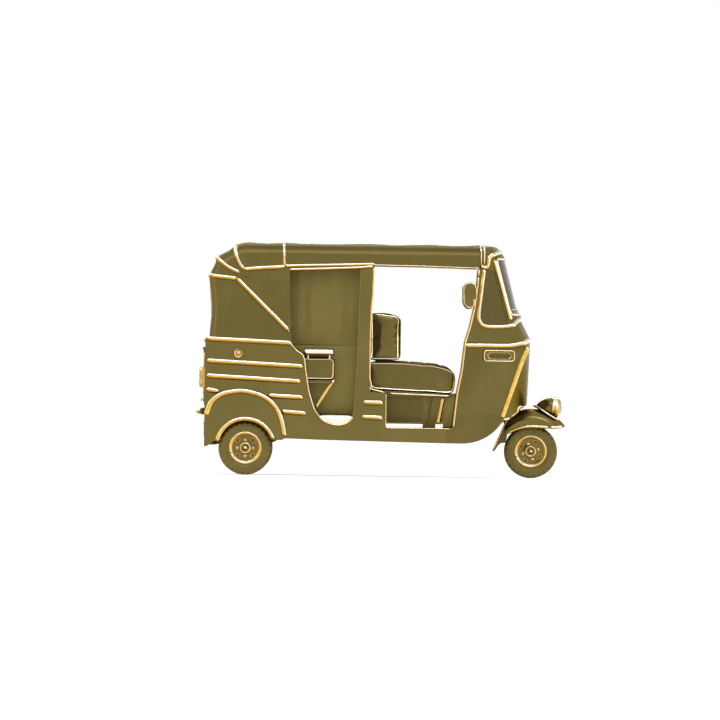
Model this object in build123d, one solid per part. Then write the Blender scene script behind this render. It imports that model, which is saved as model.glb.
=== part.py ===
from build123d import *
import math
import os

# Three-wheeled auto rickshaw in millimetres: +X forward, +Y to its left, +Z up.
# The origin is on the ground under the middle of the overall length and width.

# Wheels
tyre_radius = 190
tyre_half_width = 51
tyre_height = 73
rim_half_width = 44
rear_axle_x = -957
front_axle_x = 1075
track = 1150
axle_radius = 12
running_clearance = 0.05

# Body
body_half = 610
side_wall = 30
cab_wall = 20
sheet = 4
sill_low = 250
floor_top = 345
floor_sheet = 20
tail_x = -1250
belt_rear = (-1230, 963)
belt_front = (-648, 939)
belt_height = 965
side_split_x = -420
cab_split_x = 470
soft_gap = 0.3

# Roof and hood
roof_height = 1655
hood_sheet = 6
hood_front_x = 685.5
hood_quarter_x = -660
hood_taper_x = -50
hood_front_taper = 44
valance_drop = 165
bow_radius = 9
rail_radius = 12

# Rear fender bulge, lid, lamps, bumper and plate
arch_gap = 20
fender_proud = 40
lid_low = 485
lid_high = 885
lid_half = 360
lid_gap = 6
lid_thick = 16
hinge_radius = 6
hinge_rise = 10
knuckle_y = 250
knuckle_half = 30
ear_width = 16
lamp_half_span = 505
bumper_radius = 21
bumper_z = 447
plate_low = 270
plate_hole_spacing = 180
plate_hole_radius = 3.5
tow_eye_radius = 13
tow_eye = (-1194, 244)

# Seats
seat_base_top = 678
bench_cushion = 163
bulkhead_x = -520
driver_seat_top = 590
driver_half = 380

# Steering
steer_foot_x = 999
steer_foot_z = 480
steer_rake = 19.25
column_radius = 22
column_top = 905
head_radius = 34
head_low = 560
head_high = 840
guard_gap = 115
guard_half = 100
well_half = 300
well_gap = 21
fork_radius = 16
fork_gap = 9
flap_sheet = 8
flap_half = 80

# Worked out from the values above
rim_radius = tyre_radius - tyre_height
rear_wheel_y = track / 2
inner_half = body_half - side_wall
hood_half = body_half + 8
valance_low = roof_height - valance_drop
pillar_top = valance_low + 10
hip_height = roof_height - 95
shoulder_height = roof_height - 17
shoulder_y = body_half - 72
arch_radius = tyre_radius + arch_gap
guard_radius = tyre_radius + guard_gap
guard_top = tyre_radius + guard_radius
fork_y = tyre_half_width + fork_gap + fork_radius
far = 2000


def outline(*points):
    return Polygon(*points, align=None)


def slab(shape, y_low, y_high):
    """A side view (x, z) made solid between two places across the vehicle."""
    face = Pos(0, y_high, 0) * (Plane.XZ * shape)
    return extrude(face, amount=y_high - y_low, dir=(0, -1, 0))


def block(x, y, z):
    """Box from its low and high value on each axis."""
    size = (x[1] - x[0], y[1] - y[0], z[1] - z[0])
    centre = Pos((x[0] + x[1]) / 2, (y[0] + y[1]) / 2, (z[0] + z[1]) / 2)
    return centre * Box(*size)


def rod(start, end, radius):
    """Round bar from one point to another."""
    run = Vector(*end) - Vector(*start)
    seat = Plane(origin=start, z_dir=run)
    return seat * Cylinder(radius, run.length, align=(Align.CENTER, Align.CENTER, Align.MIN))


def tube_along(points, radius, bend):
    """Round bar along straight runs with an arc at each corner."""
    path = FilletPolyline(*points, radius=bend)
    seat = Plane(origin=path @ 0, z_dir=path % 0)
    return sweep(seat * Circle(radius), path=path)


def mirrored(piece):
    return mirror(piece, about=Plane.XZ)


def whole(shape):
    """One solid, or a compound of solids, from what a cut leaves."""
    solids = [solid for solid in shape.solids() if solid.volume > 500]
    return solids[0] if len(solids) == 1 else Compound(children=solids)


def both_sides(piece):
    """The piece and its mirror image, as two solids that don't touch."""
    return Compound(children=[whole(piece), mirrored(whole(piece))])


# ---- Openings in the side view, shared by the pieces around them
driver_doorway = [
    (38, floor_top), (517, floor_top), (543, 590), (575, 758), (598, belt_height), (628, 1064),
    (658, 1199), (680, 1384), (686, pillar_top + 20), (-52, pillar_top + 20), (-76, 1175), (-76, 600),
    (38, 594),
]
passenger_doorway = [
    (hood_quarter_x, pillar_top + 20), (-648, 932), (-551, 841), (-516, 622), (-471, 473), (-413, 396),
    (-299, 360), (-215, 392), (-187, 470), (-167, 825), (-152, pillar_top + 20),
]
quarter_window = [
    (728, roof_height - 180), (697, 1150), (738, 1086), (880, 1086), (893, 1112), (797, roof_height - 180),
]
driver_cut = slab(outline(*driver_doorway), -far, far)
passenger_cut = slab(outline(*passenger_doorway), -far, far)

# ---- Cab shell
# Horizontal sections: each side runs straight from the rear corner to the edge,
# and one arc crosses the front through the centre.
# Height, edge x, edge y inside the body's side, centre x, rear y inside the side
cab_sections = [
    (200, 871, 155, 1041, 0),
    (449, 871, 155, 1041, 0),
    (920, 1035, 125, 1060, 0),
    (992, 1000, 120, 1059, 2),
    (1130, 915, 108, 989, 6),
    (roof_height - 95, 791, 92, 877, 20),
    (roof_height - 38, 762, 94, 841, 22),
    (roof_height + 45, 690, 98, 745, 25),
]
cab_rear_x = cab_split_x - 60
cab_shoulder_y = body_half - 120
nose_underside = [(858, guard_top - 110), (1040, guard_top + 28)]
crease_low = (871, 449)
crease_high = (1042, 920)
windscreen_low = 1165
windscreen_high = roof_height - 100
windscreen_half = body_half - 145
window_round = 45
dashboard_low = belt_height + 43
glass_inset = 7
glass_sheet = 6


def roof_section(inset, half, shoulder):
    """Cross-section of a roof: straight sides, round shoulders, a low crown."""
    hip = (half - inset, hip_height)
    top = (shoulder, shoulder_height - inset)
    middle = ((hip[0] + shoulder) / 2 + 18, (hip[1] + top[1]) / 2 + 18)
    left_round = ThreePointArc(hip, middle, top)
    crown = ThreePointArc(top, (0, roof_height - inset), (-shoulder, top[1]))
    right_round = ThreePointArc((-shoulder, top[1]), (-middle[0], middle[1]), (-hip[0], hip[1]))
    sides = Polyline((-hip[0], hip[1]), (-hip[0], 0), (hip[0], 0), hip)
    return make_face([left_round, crown, right_round, sides])


def across_roof(inset, half, shoulder):
    """The roof's cross-section run past both ends of the vehicle."""
    seat = Plane(origin=(-far, 0, 0), x_dir=(0, 1, 0), z_dir=(1, 0, 0))
    return extrude(seat * roof_section(inset, half, shoulder), amount=2 * far)


def cab_loft(inset):
    sections = []
    for height, edge_x, edge_in, centre_x, rear_in in cab_sections:
        edge = (edge_x - inset, body_half - edge_in - inset)
        rear = (cab_rear_x, body_half - rear_in - inset)
        front = ThreePointArc((edge[0], -edge[1]), (centre_x - inset, 0), edge)
        sides = Polyline(edge, rear, (rear[0], -rear[1]), (edge[0], -edge[1]))
        sections.append(Pos(0, 0, height) * make_face([front, sides]))
    return loft(sections, ruled=True)


def cab_side_view(inset):
    """Belly, nose underside and roof, open far out in front."""
    belly = sill_low - 8 + inset
    start = (590, belly)
    heel = (nose_underside[0][0] - inset / 2, nose_underside[0][1] + inset)
    toe = (nose_underside[1][0], nose_underside[1][1] + inset)
    middle = (748 - inset / 3, (belly + heel[1]) / 2 - 28)
    top = roof_height - inset
    rest = Polyline(
        heel, toe, (far, toe[1]), (far, 1500), (860, top - 55), (812, top - 14), (700, top),
        (cab_rear_x, top), (cab_rear_x, belly), start,
    )
    return make_face([ThreePointArc(start, middle, heel), rest])


def wheel_well(inset):
    """Room over the mudguard, through its whole steering travel."""
    roof = guard_top + well_gap + inset
    rear_x = 835 - inset
    shape = outline((rear_x, 0), (rear_x, roof - 48), (1041, roof), (far, roof), (far, 0))
    return slab(shape, -well_half - inset, well_half + inset)


def cab_block(inset):
    in_view = cab_loft(inset) & slab(cab_side_view(inset), -far, far)
    return (in_view & across_roof(inset, body_half + 15, cab_shoulder_y)) - wheel_well(inset)


def windscreen_cut(margin):
    """Prism along X through the windscreen opening, its edges moved in by a margin."""
    low = windscreen_low + margin
    high = windscreen_high - margin
    half = windscreen_half - margin
    shape = outline((-half, low), (half, low), (half - 10, high), (10 - half, high))
    seat = Plane(origin=(cab_split_x, 0, 0), x_dir=(0, 1, 0), z_dir=(1, 0, 0))
    return extrude(seat * fillet(shape.vertices(), window_round), amount=far)


def quarter_cut(margin):
    shape = fillet(outline(*quarter_window).vertices(), 14)
    return slab(offset(shape, -margin) if margin else shape, -far, far)


def make_cab():
    """The cab's panels, cut from one shell along their real joints."""
    body_zone = block((cab_split_x, far), (-far, far), (0, far))
    header_zone = block((0, hood_front_x + 0.5), (-far, far), (valance_low, far))
    low_zone = block((0, far), (-far, far), (0, belt_height))
    inner_zone = cab_loft(cab_wall)
    crease = outline(
        (crease_low[0] - 90, crease_low[1] - 248), crease_high, (crease_high[0] + 16, belt_height),
        (far, belt_height), (far, 0), (crease_low[0] - 90, 0),
    )
    front_zone = slab(crease, -far, far)
    column_hole = rod(steer_point(steer_foot_z - 130), steer_point(steer_foot_z + 140), head_radius + 6)
    shell = (cab_block(0) - cab_block(cab_wall)) & body_zone

    nose = (shell & front_zone) - column_hole
    lower = (shell & low_zone) - front_zone
    belly = (lower & inner_zone) - column_hole
    sides = lower - inner_zone
    right = (sides - driver_cut) & block((0, far), (-far, 0), (0, far))
    foot_board = outline((cab_split_x, floor_top), (517, floor_top), (543, 594), (cab_split_x, 594))
    left = mirrored(right) + (sides & slab(foot_board, 0, far))

    upper = (shell - low_zone - header_zone - driver_cut) - windscreen_cut(0) - quarter_cut(0)
    glass = cab_block(glass_inset) - cab_block(glass_inset + glass_sheet)
    quarter_zone = block((600, 960), (-far, far), (belt_height, far))
    return {
        "nose_panel": whole(nose),
        "belly_pan": whole(belly),
        "cowl_right": whole(right),
        "cowl_left": whole(left),
        "windscreen_frame": whole(upper),
        "windscreen_glass": whole(glass & windscreen_cut(soft_gap)),
        "quarter_glass": whole(glass & quarter_cut(soft_gap) & quarter_zone),
    }


def steer_point(height):
    """Point on the steering axis at a height."""
    lean = math.tan(math.radians(steer_rake))
    return (steer_foot_x - (height - steer_foot_z) * lean, 0, height)


def make_side_vents():
    outer = Pos(839, 868) * RectangleRounded(232, 92, 26)
    inner = Pos(843, 868) * RectangleRounded(170, 48, 16)
    return whole((cab_block(-9) - cab_block(-soft_gap)) & slab(outer - inner, -far, far))


def make_dashboard():
    shelf = block((905, far), (-far, far), (dashboard_low, dashboard_low + 30))
    return whole(shelf & cab_block(cab_wall + soft_gap))


def make_mirrors():
    head = block((577, 655), (-body_half - 115, -body_half - 5), (1227, 1390))
    head = fillet(head.edges(), 18)
    stalk = rod((640, -body_half - 10, 1334), (704, -body_half + 85, 1334), 8)
    return both_sides((head + stalk) - cab_block(0))


# ---- Body sides, quarter panels and tail
side_outline = [
    (side_split_x, sill_low + 5), (cab_split_x, sill_low - 8), (cab_split_x, floor_top + 300), (-52, 700),
    (-52, pillar_top), (-152, pillar_top), (-187, 700), (side_split_x, 700),
]
quarter_outline = [
    (tail_x + cab_wall, sill_low), (tail_x + cab_wall, belt_rear[1]), belt_front, (-551, 841), (-516, 622),
    (-471, 473), (side_split_x, 400.2), (side_split_x, sill_low + 5), (-671, 262),
]
left_board = [(side_split_x, 300), (cab_split_x, 300), (cab_split_x, 594), (side_split_x, 594)]
left_door_panel = [
    (-551, 841), belt_front, (-150, 925), (-150, 594), (side_split_x, 594),
    (side_split_x, 400.2), (-471, 473), (-516, 622),
]


def side_sheet(shape):
    return slab(shape, -body_half, -inner_half)


def make_body_sides():
    arch = Pos(rear_axle_x, tyre_radius) * Circle(arch_radius)
    pillar = outline(*side_outline) - outline(*driver_doorway) - outline(*passenger_doorway)
    right = side_sheet(pillar)
    left = mirrored(side_sheet(pillar + outline(*left_board)))
    quarter = outline(*quarter_outline) - arch
    left_quarter = mirrored(side_sheet(quarter + outline(*left_door_panel))) - left
    return {
        "body_side_right": whole(right),
        "body_side_left": whole(left),
        "rear_quarter_right": whole(side_sheet(quarter)),
        "rear_quarter_left": whole(left_quarter),
    }


def make_fenders():
    arch = Pos(rear_axle_x, tyre_radius) * Circle(arch_radius)
    heel = (tail_x, 405)
    crown = (-963, tyre_radius + 415)
    toe = (-671, 264)
    shape = make_face([
        ThreePointArc(heel, (-1142, crown[1] - 33), crown),
        ThreePointArc(crown, (-757, crown[1] - 90), toe),
        Polyline(toe, (-700, sill_low), (-1165, sill_low - 4), (-1236, 197), (tail_x, 201), heel),
    ])
    return both_sides(slab(shape - arch, -body_half - fender_proud, -body_half))


def plate_bolt_holes():
    height = plate_low + 90
    holes = []
    for side in (-1, 1):
        y = side * plate_hole_spacing / 2
        holes.append(rod((tail_x - 30, y, height), (tail_x + 50, y, height), plate_hole_radius))
    return Compound(children=holes)


def make_tail():
    panel = block((tail_x, tail_x + cab_wall), (-body_half, body_half), (sill_low, belt_rear[1]))
    panel -= block((tail_x, tail_x + cab_wall), (-lid_half, lid_half), (lid_low, lid_high))
    panel -= plate_bolt_holes()
    lid = block(
        (tail_x - lid_gap, tail_x - lid_gap + lid_thick), (lid_gap - lid_half, lid_half - lid_gap),
        (lid_low + lid_gap, lid_high - lid_gap),
    )
    pin_x = tail_x - 2 * hinge_radius
    pin_z = lid_high + hinge_rise
    for side in (-1, 1):
        middle = side * knuckle_y
        span = (middle - knuckle_half, middle + knuckle_half)
        lid += block((pin_x - 2, tail_x - lid_gap), span, (lid_high - 40, pin_z - 5))
        lid += rod((pin_x, span[0], pin_z), (pin_x, span[1], pin_z), hinge_radius)
        for ear in (-1, 1):
            near = middle + ear * (knuckle_half + soft_gap)
            ears = (min(near, near + ear * ear_width), max(near, near + ear * ear_width))
            panel += block((pin_x - 8, tail_x), ears, (pin_z - 8, pin_z + 8))
    return {"rear_panel": whole(panel), "engine_lid": whole(lid)}


def make_bumper():
    bar_x = tail_x - 38
    end = body_half - 50
    corners = [(tail_x, -end), (bar_x, 80 - end), (bar_x, end - 80), (tail_x, end)]
    bar = tube_along([(x, y, bumper_z) for x, y in corners], bumper_radius, 40)
    for side in (-1, 1):
        bar += rod((bar_x, side * 330, bumper_z), (tail_x, side * 330, bumper_z), 14)
    return whole(bar - block((tail_x, 0), (-far, far), (0, far)))


def make_tail_lamps():
    lamp = block((tail_x - 36, tail_x), (-lamp_half_span - 55, 55 - lamp_half_span), (620, 760))
    return both_sides(fillet(lamp.edges().group_by(Axis.X)[0], 14))


def make_number_plate():
    return block((tail_x - 4, tail_x), (-150, 150), (plate_low, plate_low + 110)) - plate_bolt_holes()


def make_filler_cap():
    return rod((-1014, -body_half, 863), (-1014, -body_half - 14, 863), 36)


# ---- Floor and chassis
rail_y = 300
rail_half_width = 30
rail_low = 265
cross_members = [(-1180, rail_y), (rear_axle_x + 317, inner_half), (-60, inner_half), (520, rail_y)]


def make_floor():
    rear = block((bulkhead_x, cab_split_x), (-inner_half, inner_half), (floor_top - floor_sheet, floor_top))
    front = block((cab_split_x, 760), (-far, far), (floor_top - floor_sheet, floor_top))
    return whole(rear + (front & cab_loft(cab_wall)))


def make_chassis():
    rail_span = (rail_y - rail_half_width, rail_y + rail_half_width)
    rail = block((-1200, 560), rail_span, (rail_low, floor_top - floor_sheet))
    frame = rail + mirrored(rail)
    for cross_x, half in cross_members:
        frame += block((cross_x - 20, cross_x + 20), (-half, half), (rail_low + 5, floor_top - floor_sheet))
    eye_x, eye_z = tow_eye
    lug = block((eye_x - 21, eye_x + 21), (-8, 8), (eye_z - 21, rail_low + 6))
    lug -= rod((eye_x, -far, eye_z), (eye_x, far, eye_z), tow_eye_radius)
    return whole(frame + lug)


def make_steering_head():
    head = rod(steer_point(head_low), steer_point(head_high), head_radius)
    gusset = outline(
        (680, floor_top), (758, floor_top), (795, guard_top + 22), (960, head_low + 15),
        (880, head_high - 40), (840, head_high - 40),
    )
    head += slab(gusset, -12, 12)
    return whole(head - rod(steer_point(200), steer_point(1200), column_radius + running_clearance))


# ---- Engine, rear axle and springs
gearbox_z = 290
arm_pivot_x = rear_axle_x + 267
arm_pivot_z = 292
hub_inner_y = rear_wheel_y - 105
arm_width = 40
axle_outer_y = rear_wheel_y + 22
spring_radius = 42
spring_x = rear_axle_x + 77
spring_y = min(hub_inner_y - arm_width / 2, inner_half - spring_radius - 4)
spring_gap = 15
wheel_house_half = 4
wheel_house_y = spring_y - spring_radius - spring_gap - wheel_house_half


def make_bulkhead():
    top = (seat_base_top - 20, seat_base_top)
    wall = block((bulkhead_x - 20, bulkhead_x), (-inner_half, inner_half), (floor_top, top[1]))
    wall += block((tail_x + cab_wall, -345), (-inner_half, inner_half), top)
    for side in (-1, 1):
        brace_y = side * (inner_half - 35)
        brace = outline(
            (bulkhead_x, floor_top + 25), (bulkhead_x, floor_top + 57), (-365, top[0]), (-345, top[0]),
            (-345, top[0] - 6),
        )
        wall += slab(brace, brace_y - 15, brace_y + 15)
        house = (side * wheel_house_y - wheel_house_half, side * wheel_house_y + wheel_house_half)
        wall += block((tail_x + cab_wall + 2, bulkhead_x - 10), house, (floor_top, top[1]))
    return whole(wall)


def make_engine():
    engine = block((-1160, -860), (-190, 190), (floor_top - floor_sheet, floor_top + 235))
    return engine + block((-1030, -884), (-120, 120), (gearbox_z - 60, floor_top))


def make_rear_arm():
    inner = hub_inner_y - arm_width
    shape = outline(
        (arm_pivot_x - 10, arm_pivot_z - 28), (arm_pivot_x - 10, arm_pivot_z + 28),
        (rear_axle_x - 50, tyre_radius + 45), (rear_axle_x - 50, tyre_radius - 40),
        (rear_axle_x + 40, tyre_radius - 40),
    )
    arm = slab(shape, inner, hub_inner_y)
    pivot = (arm_pivot_x, rail_y + rail_half_width, arm_pivot_z)
    arm += rod(pivot, (arm_pivot_x, hub_inner_y, arm_pivot_z), 26)
    axle_end = (rear_axle_x, axle_outer_y, tyre_radius)
    return arm + rod((rear_axle_x, inner, tyre_radius), axle_end, axle_radius)


def make_rear_axle():
    arm = make_rear_arm()
    shaft = rod((rear_axle_x, 119, gearbox_z), (rear_axle_x, hub_inner_y - arm_width + 5, tyre_radius), 14)
    gearbox_zone = block((-1100, -800), (-120, 120), (0, 500))
    spring_top = (spring_x, spring_y, seat_base_top - 20)
    spring = rod((spring_x, spring_y, tyre_radius + 50), spring_top, spring_radius)
    return {
        "rear_arms": both_sides(arm),
        "drive_shafts": both_sides(shaft - gearbox_zone - arm),
        "rear_springs": both_sides(spring - arm),
    }


# ---- Seats
def cushion(shape, half, soften):
    pad = slab(shape, -half, half)
    return fillet(pad.edges(), soften)


def make_bench():
    low = seat_base_top + soft_gap
    high = seat_base_top + bench_cushion
    pad = outline((-1135, low), (-322, low), (-322, high), (-1135, high))
    back_low = high + soft_gap
    back = outline((-1005, back_low), (-1130, back_low), (-1165, back_low + 499), (-1060, back_low + 499))
    return {
        "passenger_cushion": cushion(pad, inner_half - 10, 24),
        "passenger_backrest": cushion(back, inner_half - 10, 24),
    }


partition_x = -150
driver_pad_low = [(-45, 24.7), (250, 12.7), (500, 1.1)]


def make_driver_seat():
    """Box, two front legs, back board and a top that follows the cushion's underside."""
    slope = [(x, driver_seat_top + rise) for x, rise in driver_pad_low]
    top = outline(
        (partition_x + 22, driver_seat_top - 20), (500, driver_seat_top - 20), slope[2], slope[1], slope[0],
        (partition_x + 22, slope[0][1]),
    )
    frame = block((partition_x + 22, 300), (80 - driver_half, driver_half - 80), (floor_top, driver_seat_top))
    frame += slab(top, 5 - driver_half, driver_half - 5)
    frame += block((partition_x + 20, -83.3), (20 - driver_half, driver_half - 20), (floor_top, 1150))
    for side in (-1, 1):
        leg_y = side * (driver_half - 40)
        leg_top = driver_seat_top - 15
        leg = outline((333, floor_top), (414, floor_top), (451, leg_top), (372, leg_top))
        frame += slab(leg, leg_y - 15, leg_y + 15)
    cushion_room = outline((-99.5, 638), (-60, slope[0][1] - 0.2), (-60, 820), (-99.5, 820))
    return whole(frame - slab(cushion_room, -far, far))


def make_driver_pads():
    rise = driver_seat_top + soft_gap
    pad = outline(
        (-99, 800), (-99, 650), (-80, rise + 34.7), (-40, rise + 24.7), (250, rise + 12.7), (525, rise),
        (540, 620), (545, 735), (530, 762), (470, 790), (340, 808), (140, 815),
    )
    back = outline(
        (-83, 1160), (-70, 1168), (60, 1160), (118, 1146), (134, 1128), (138, 842), (60, 828), (-83, 820),
    )
    return {
        "driver_cushion": whole(slab(pad, -driver_half, driver_half)),
        "driver_backrest": whole(slab(back, 10 - driver_half, driver_half - 10)),
    }


def make_partition():
    return block((partition_x, partition_x + 20), (-inner_half, inner_half), (floor_top, 1160))


# ---- Hood and its tubes
hood_tail = [(-1227, 900), (-1212, 1166), (-1229, 1371), (-1230, 1418)]
# How far each corner over the tail lies below the roof
hood_corner = [(-1189, 148), (-1179, 102), (-1091, 51), (-1049, 18), (-978, 0)]


def hood_block(inset):
    top = [(x, roof_height - drop) for x, drop in hood_corner]
    side_view = outline(*hood_tail, *top, (900, roof_height), (900, 900))
    if inset:
        side_view = offset(side_view, -inset, kind=Kind.INTERSECTION)
        side_view += outline((-1215, 800), (-1215, 960), (890, 960), (890, 800))
    rear = hood_half - inset
    front = hood_half - hood_front_taper - inset
    plan = outline(
        (-far, -rear), (hood_taper_x, -rear), (hood_front_x, -front), (far, -front),
        (far, front), (hood_front_x, front), (hood_taper_x, rear), (-far, rear),
    )
    block_in_view = slab(side_view, -far, far) & across_roof(inset, hood_half, shoulder_y)
    return block_in_view & extrude(Pos(0, 0, 700) * plan, amount=far)


def make_hood(left_side):
    edge = outline(
        (-far, belt_rear[1] + 7), (tail_x + 21, belt_rear[1] + 7), (hood_quarter_x, belt_front[1] + 1.5),
        (hood_quarter_x, valance_low), (hood_front_x, valance_low), (hood_front_x, far), (-far, far),
    )
    curtain = outline(
        (hood_quarter_x + 1, 942), (-165.1, 928), (-153, valance_low - 1),
        (hood_quarter_x + 1, valance_low - 1),
    )
    return {
        "hood_canopy": whole((hood_block(0) - hood_block(hood_sheet)) & slab(edge, -far, far)),
        "side_curtain": whole(mirrored(slab(curtain, -body_half, hood_sheet - body_half)) - left_side),
    }


rail_height = pillar_top + rail_radius
tube_y = inner_half + 10
front_tube_y = hood_half - hood_front_taper - hood_sheet - rail_radius - 4
bow_inset = hood_sheet + soft_gap + bow_radius
# Place along the vehicle, how far inside the rail's line at the rear
bows = [(-965, 0), (-690, 0), (-102, 0), (330, 22)]


def make_bow(x, inside):
    """Hoop from rail to rail that follows the hood's cross-section."""
    half = tube_y - inside
    shoulder = shoulder_y - 8 - inside / 2.75
    side = [(half, rail_height), (half, hip_height + 24), (shoulder, shoulder_height - bow_inset - 2)]
    crown = (x, 0, roof_height - bow_inset - 0.7)
    run = [(x, -y, z) for y, z in side] + [crown] + [(x, y, z) for y, z in reversed(side)]
    return tube_along(run, bow_radius, 24)


def make_hood_frame(quarters):
    bend = (hood_taper_x, -tube_y, rail_height)
    rail = rod((-1000, -tube_y, rail_height), bend, rail_radius)
    rail += Pos(*bend) * Sphere(rail_radius)
    rail += rod(bend, (hood_front_x, -front_tube_y, rail_height), rail_radius)
    rail += rod((-965, -tube_y, rail_height), (-1200, -tube_y, belt_rear[1]), bow_radius)
    rail += rod((-690, -tube_y, rail_height), (-690, -tube_y, 941), bow_radius)
    frame = rail + mirrored(rail)
    for x, inside in bows:
        frame += make_bow(x, inside)
    return whole(frame - quarters[0] - quarters[1])


def make_hood_stays():
    stay = outline((-1035, 1384), (-1013, 1406), (-647, 1036), (-647, 1016), (-668, 1016))
    return both_sides(slab(stay, -hood_half - 8, -hood_half))


# ---- Steered parts
grip = (742, 300)
fork_bend_z = tyre_radius + 215
link_pivot = (front_axle_x + 90, tyre_radius - 30)
front_axle_end_y = -40
guard_centre = (front_axle_x + 3, tyre_radius)


def make_column():
    column = rod(steer_point(steer_foot_z - 10), steer_point(column_top), column_radius)
    root = steer_point(column_top)
    column += rod((root[0], -60, column_top), (root[0], 60, column_top), 26)
    for side in (-1, 1):
        bar = [
            (root[0], side * 40, column_top), (root[0] - 20, side * grip[1] / 2, column_top + 8),
            (grip[0], side * grip[1], column_top),
        ]
        column += tube_along(bar, 14, 60)
    return whole(column)


def make_fork(column):
    top = steer_point(steer_foot_z + 6)
    leg = tube_along(
        [top, (1008, 0, steer_foot_z - 26), (1035, fork_y, fork_bend_z),
         (link_pivot[0], fork_y, link_pivot[1])],
        fork_radius, 12,
    )
    link = outline(
        (link_pivot[0] + 15, link_pivot[1] - 16), (link_pivot[0] + 15, link_pivot[1] + 16),
        (front_axle_x, tyre_radius + 18), (front_axle_x - 15, tyre_radius), (front_axle_x, tyre_radius - 18),
    )
    leg += slab(link, fork_y - fork_radius, fork_y + fork_radius)
    axle_end = (front_axle_x, front_axle_end_y, tyre_radius)
    leg += rod((front_axle_x, fork_y, tyre_radius), axle_end, axle_radius)
    damper = rod((front_axle_x - 3, fork_y, tyre_radius + 10), (1046, fork_y, fork_bend_z - 33), 12)
    return {"front_fork": whole(leg - column), "front_damper": whole(damper - leg)}


def guard_body(inset):
    """Mudguard filled in: a rounded U turned about the wheel."""
    half = guard_half - inset
    crown = guard_radius - inset
    shoulder = crown - 75
    section = make_face([
        Polyline((60, half), (60, -half), (shoulder, -half)),
        ThreePointArc((shoulder, -half), (crown, 0), (shoulder, half)),
        Line((shoulder, half), (60, half)),
    ])
    return Pos(guard_centre[0], 0, guard_centre[1]) * revolve(section, Axis.Y)


def make_mudguard(column, fork):
    lift = tyre_radius
    edge = outline(
        (878, lift + 230), (886, lift + 176), (901, lift + 118), (985, lift + 154), (1064, lift + 170),
        (1199, lift + 165), (1308, lift + 174), (1420, lift + 310), (1100, lift + 510), (800, lift + 410),
    )
    shell = (guard_body(0) - guard_body(sheet)) & slab(edge, -far, far)
    return whole(shell - column - fork)


def make_headlamp():
    centre_z = guard_top + 13
    profile = make_face([
        Line((1112, 0), (1291, 0)),
        ThreePointArc((1291, 0), (1285, 40), (1266, 66)),
        Polyline((1266, 66), (1264, 72), (1228, 72), (1224, 68)),
        ThreePointArc((1224, 68), (1150, 50), (1112, 0)),
    ])
    tilt = Pos(1200, 0, centre_z) * Rot(0, 6, 0) * Pos(-1200, 0, 0)
    return whole(tilt * revolve(profile, Axis.X) - guard_body(0))


def make_mud_flap():
    """Rubber flap with two side cheeks, held inside the rear of the mudguard."""
    shape = outline((803, 195), (814, 186), (846, 234), (864, 248), (896, 250), (938, 460), (930, 460))
    hollow = outline((803, 150), (1000, 150), (1000, 500), (949, 500))
    flap = slab(shape, -flap_half, flap_half)
    flap -= slab(Pos(flap_sheet, 0) * hollow, sheet - flap_half, flap_half - sheet)
    return whole(flap & guard_body(sheet + soft_gap))


# ---- Wheels, made about the origin with their axle along Y
def make_tyre():
    shoulder = tyre_radius - 10
    widest = (rim_radius + shoulder) / 2
    section = make_face([
        Line((rim_radius, 36), (rim_radius, -36)),
        ThreePointArc((rim_radius, -36), (widest, -tyre_half_width), (shoulder, -42)),
        ThreePointArc((shoulder, -42), (tyre_radius, 0), (shoulder, 42)),
        ThreePointArc((shoulder, 42), (widest, tyre_half_width), (rim_radius, 36)),
    ])
    return revolve(section, Axis.Y)


def make_rim(hub_length):
    """Pressed wheel with its disc near the right face and a hub that is bored later."""
    lip = rim_radius + 5
    bed = rim_half_width - 2
    barrel = Polyline(
        (rim_radius - 13, -rim_half_width), (lip, -rim_half_width), (lip, -bed), (rim_radius, -bed),
        (rim_radius, bed), (lip, bed), (lip, rim_half_width), (rim_radius - 13, rim_half_width),
        (rim_radius - 13, -rim_half_width),
    )
    wheel = revolve(make_face(barrel), Axis.Y)
    disc = rod((0, -30, 0), (0, -22, 0), rim_radius - 12.5)
    for turn in range(4):
        angle = math.radians(45 + 90 * turn)
        x = (rim_radius - 42) * math.cos(angle)
        z = (rim_radius - 42) * math.sin(angle)
        disc -= rod((x, -40, z), (x, 0, z), 13)
    return wheel + disc + rod((0, -40, 0), (0, hub_length - 40, 0), 39)


def make_wheel(axle_x, wheel_y, hub_length, axle_end_y):
    """Tyre and rim at their place, the hub bored from its inner face to the axle's end."""
    place = Pos(axle_x, wheel_y, tyre_radius)
    bore = rod((axle_x, axle_end_y - soft_gap, tyre_radius), (axle_x, wheel_y + 300, tyre_radius),
               axle_radius + running_clearance)
    return place * make_tyre(), whole(place * make_rim(hub_length) - bore)


pieces = make_cab()
pieces["side_vents"] = make_side_vents()
pieces |= make_body_sides()
pieces["rear_fenders"] = make_fenders()
pieces |= make_tail()
pieces["rear_bumper"] = make_bumper()
pieces["tail_lamps"] = make_tail_lamps()
pieces["number_plate"] = make_number_plate()
pieces["filler_cap"] = make_filler_cap()
pieces["floor_pan"] = make_floor()
pieces["chassis_frame"] = make_chassis()
pieces["steering_head"] = make_steering_head()
pieces["engine_bulkhead"] = make_bulkhead()
pieces["engine_block"] = whole(make_engine())
pieces |= make_rear_axle()
pieces |= make_bench()
pieces["partition"] = make_partition()
pieces["driver_seat_frame"] = make_driver_seat()
pieces |= make_driver_pads()
pieces |= make_hood(pieces["body_side_left"])
pieces["hood_frame"] = make_hood_frame((pieces["rear_quarter_right"], pieces["rear_quarter_left"]))
pieces["hood_stays"] = make_hood_stays()
pieces["mirrors"] = make_mirrors()
pieces["dashboard"] = make_dashboard()
pieces["steering_column"] = make_column()
pieces |= make_fork(pieces["steering_column"])
pieces["front_mudguard"] = make_mudguard(pieces["steering_column"], pieces["front_fork"])
pieces["headlamp"] = make_headlamp()
pieces["mud_flap"] = make_mud_flap()

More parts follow.
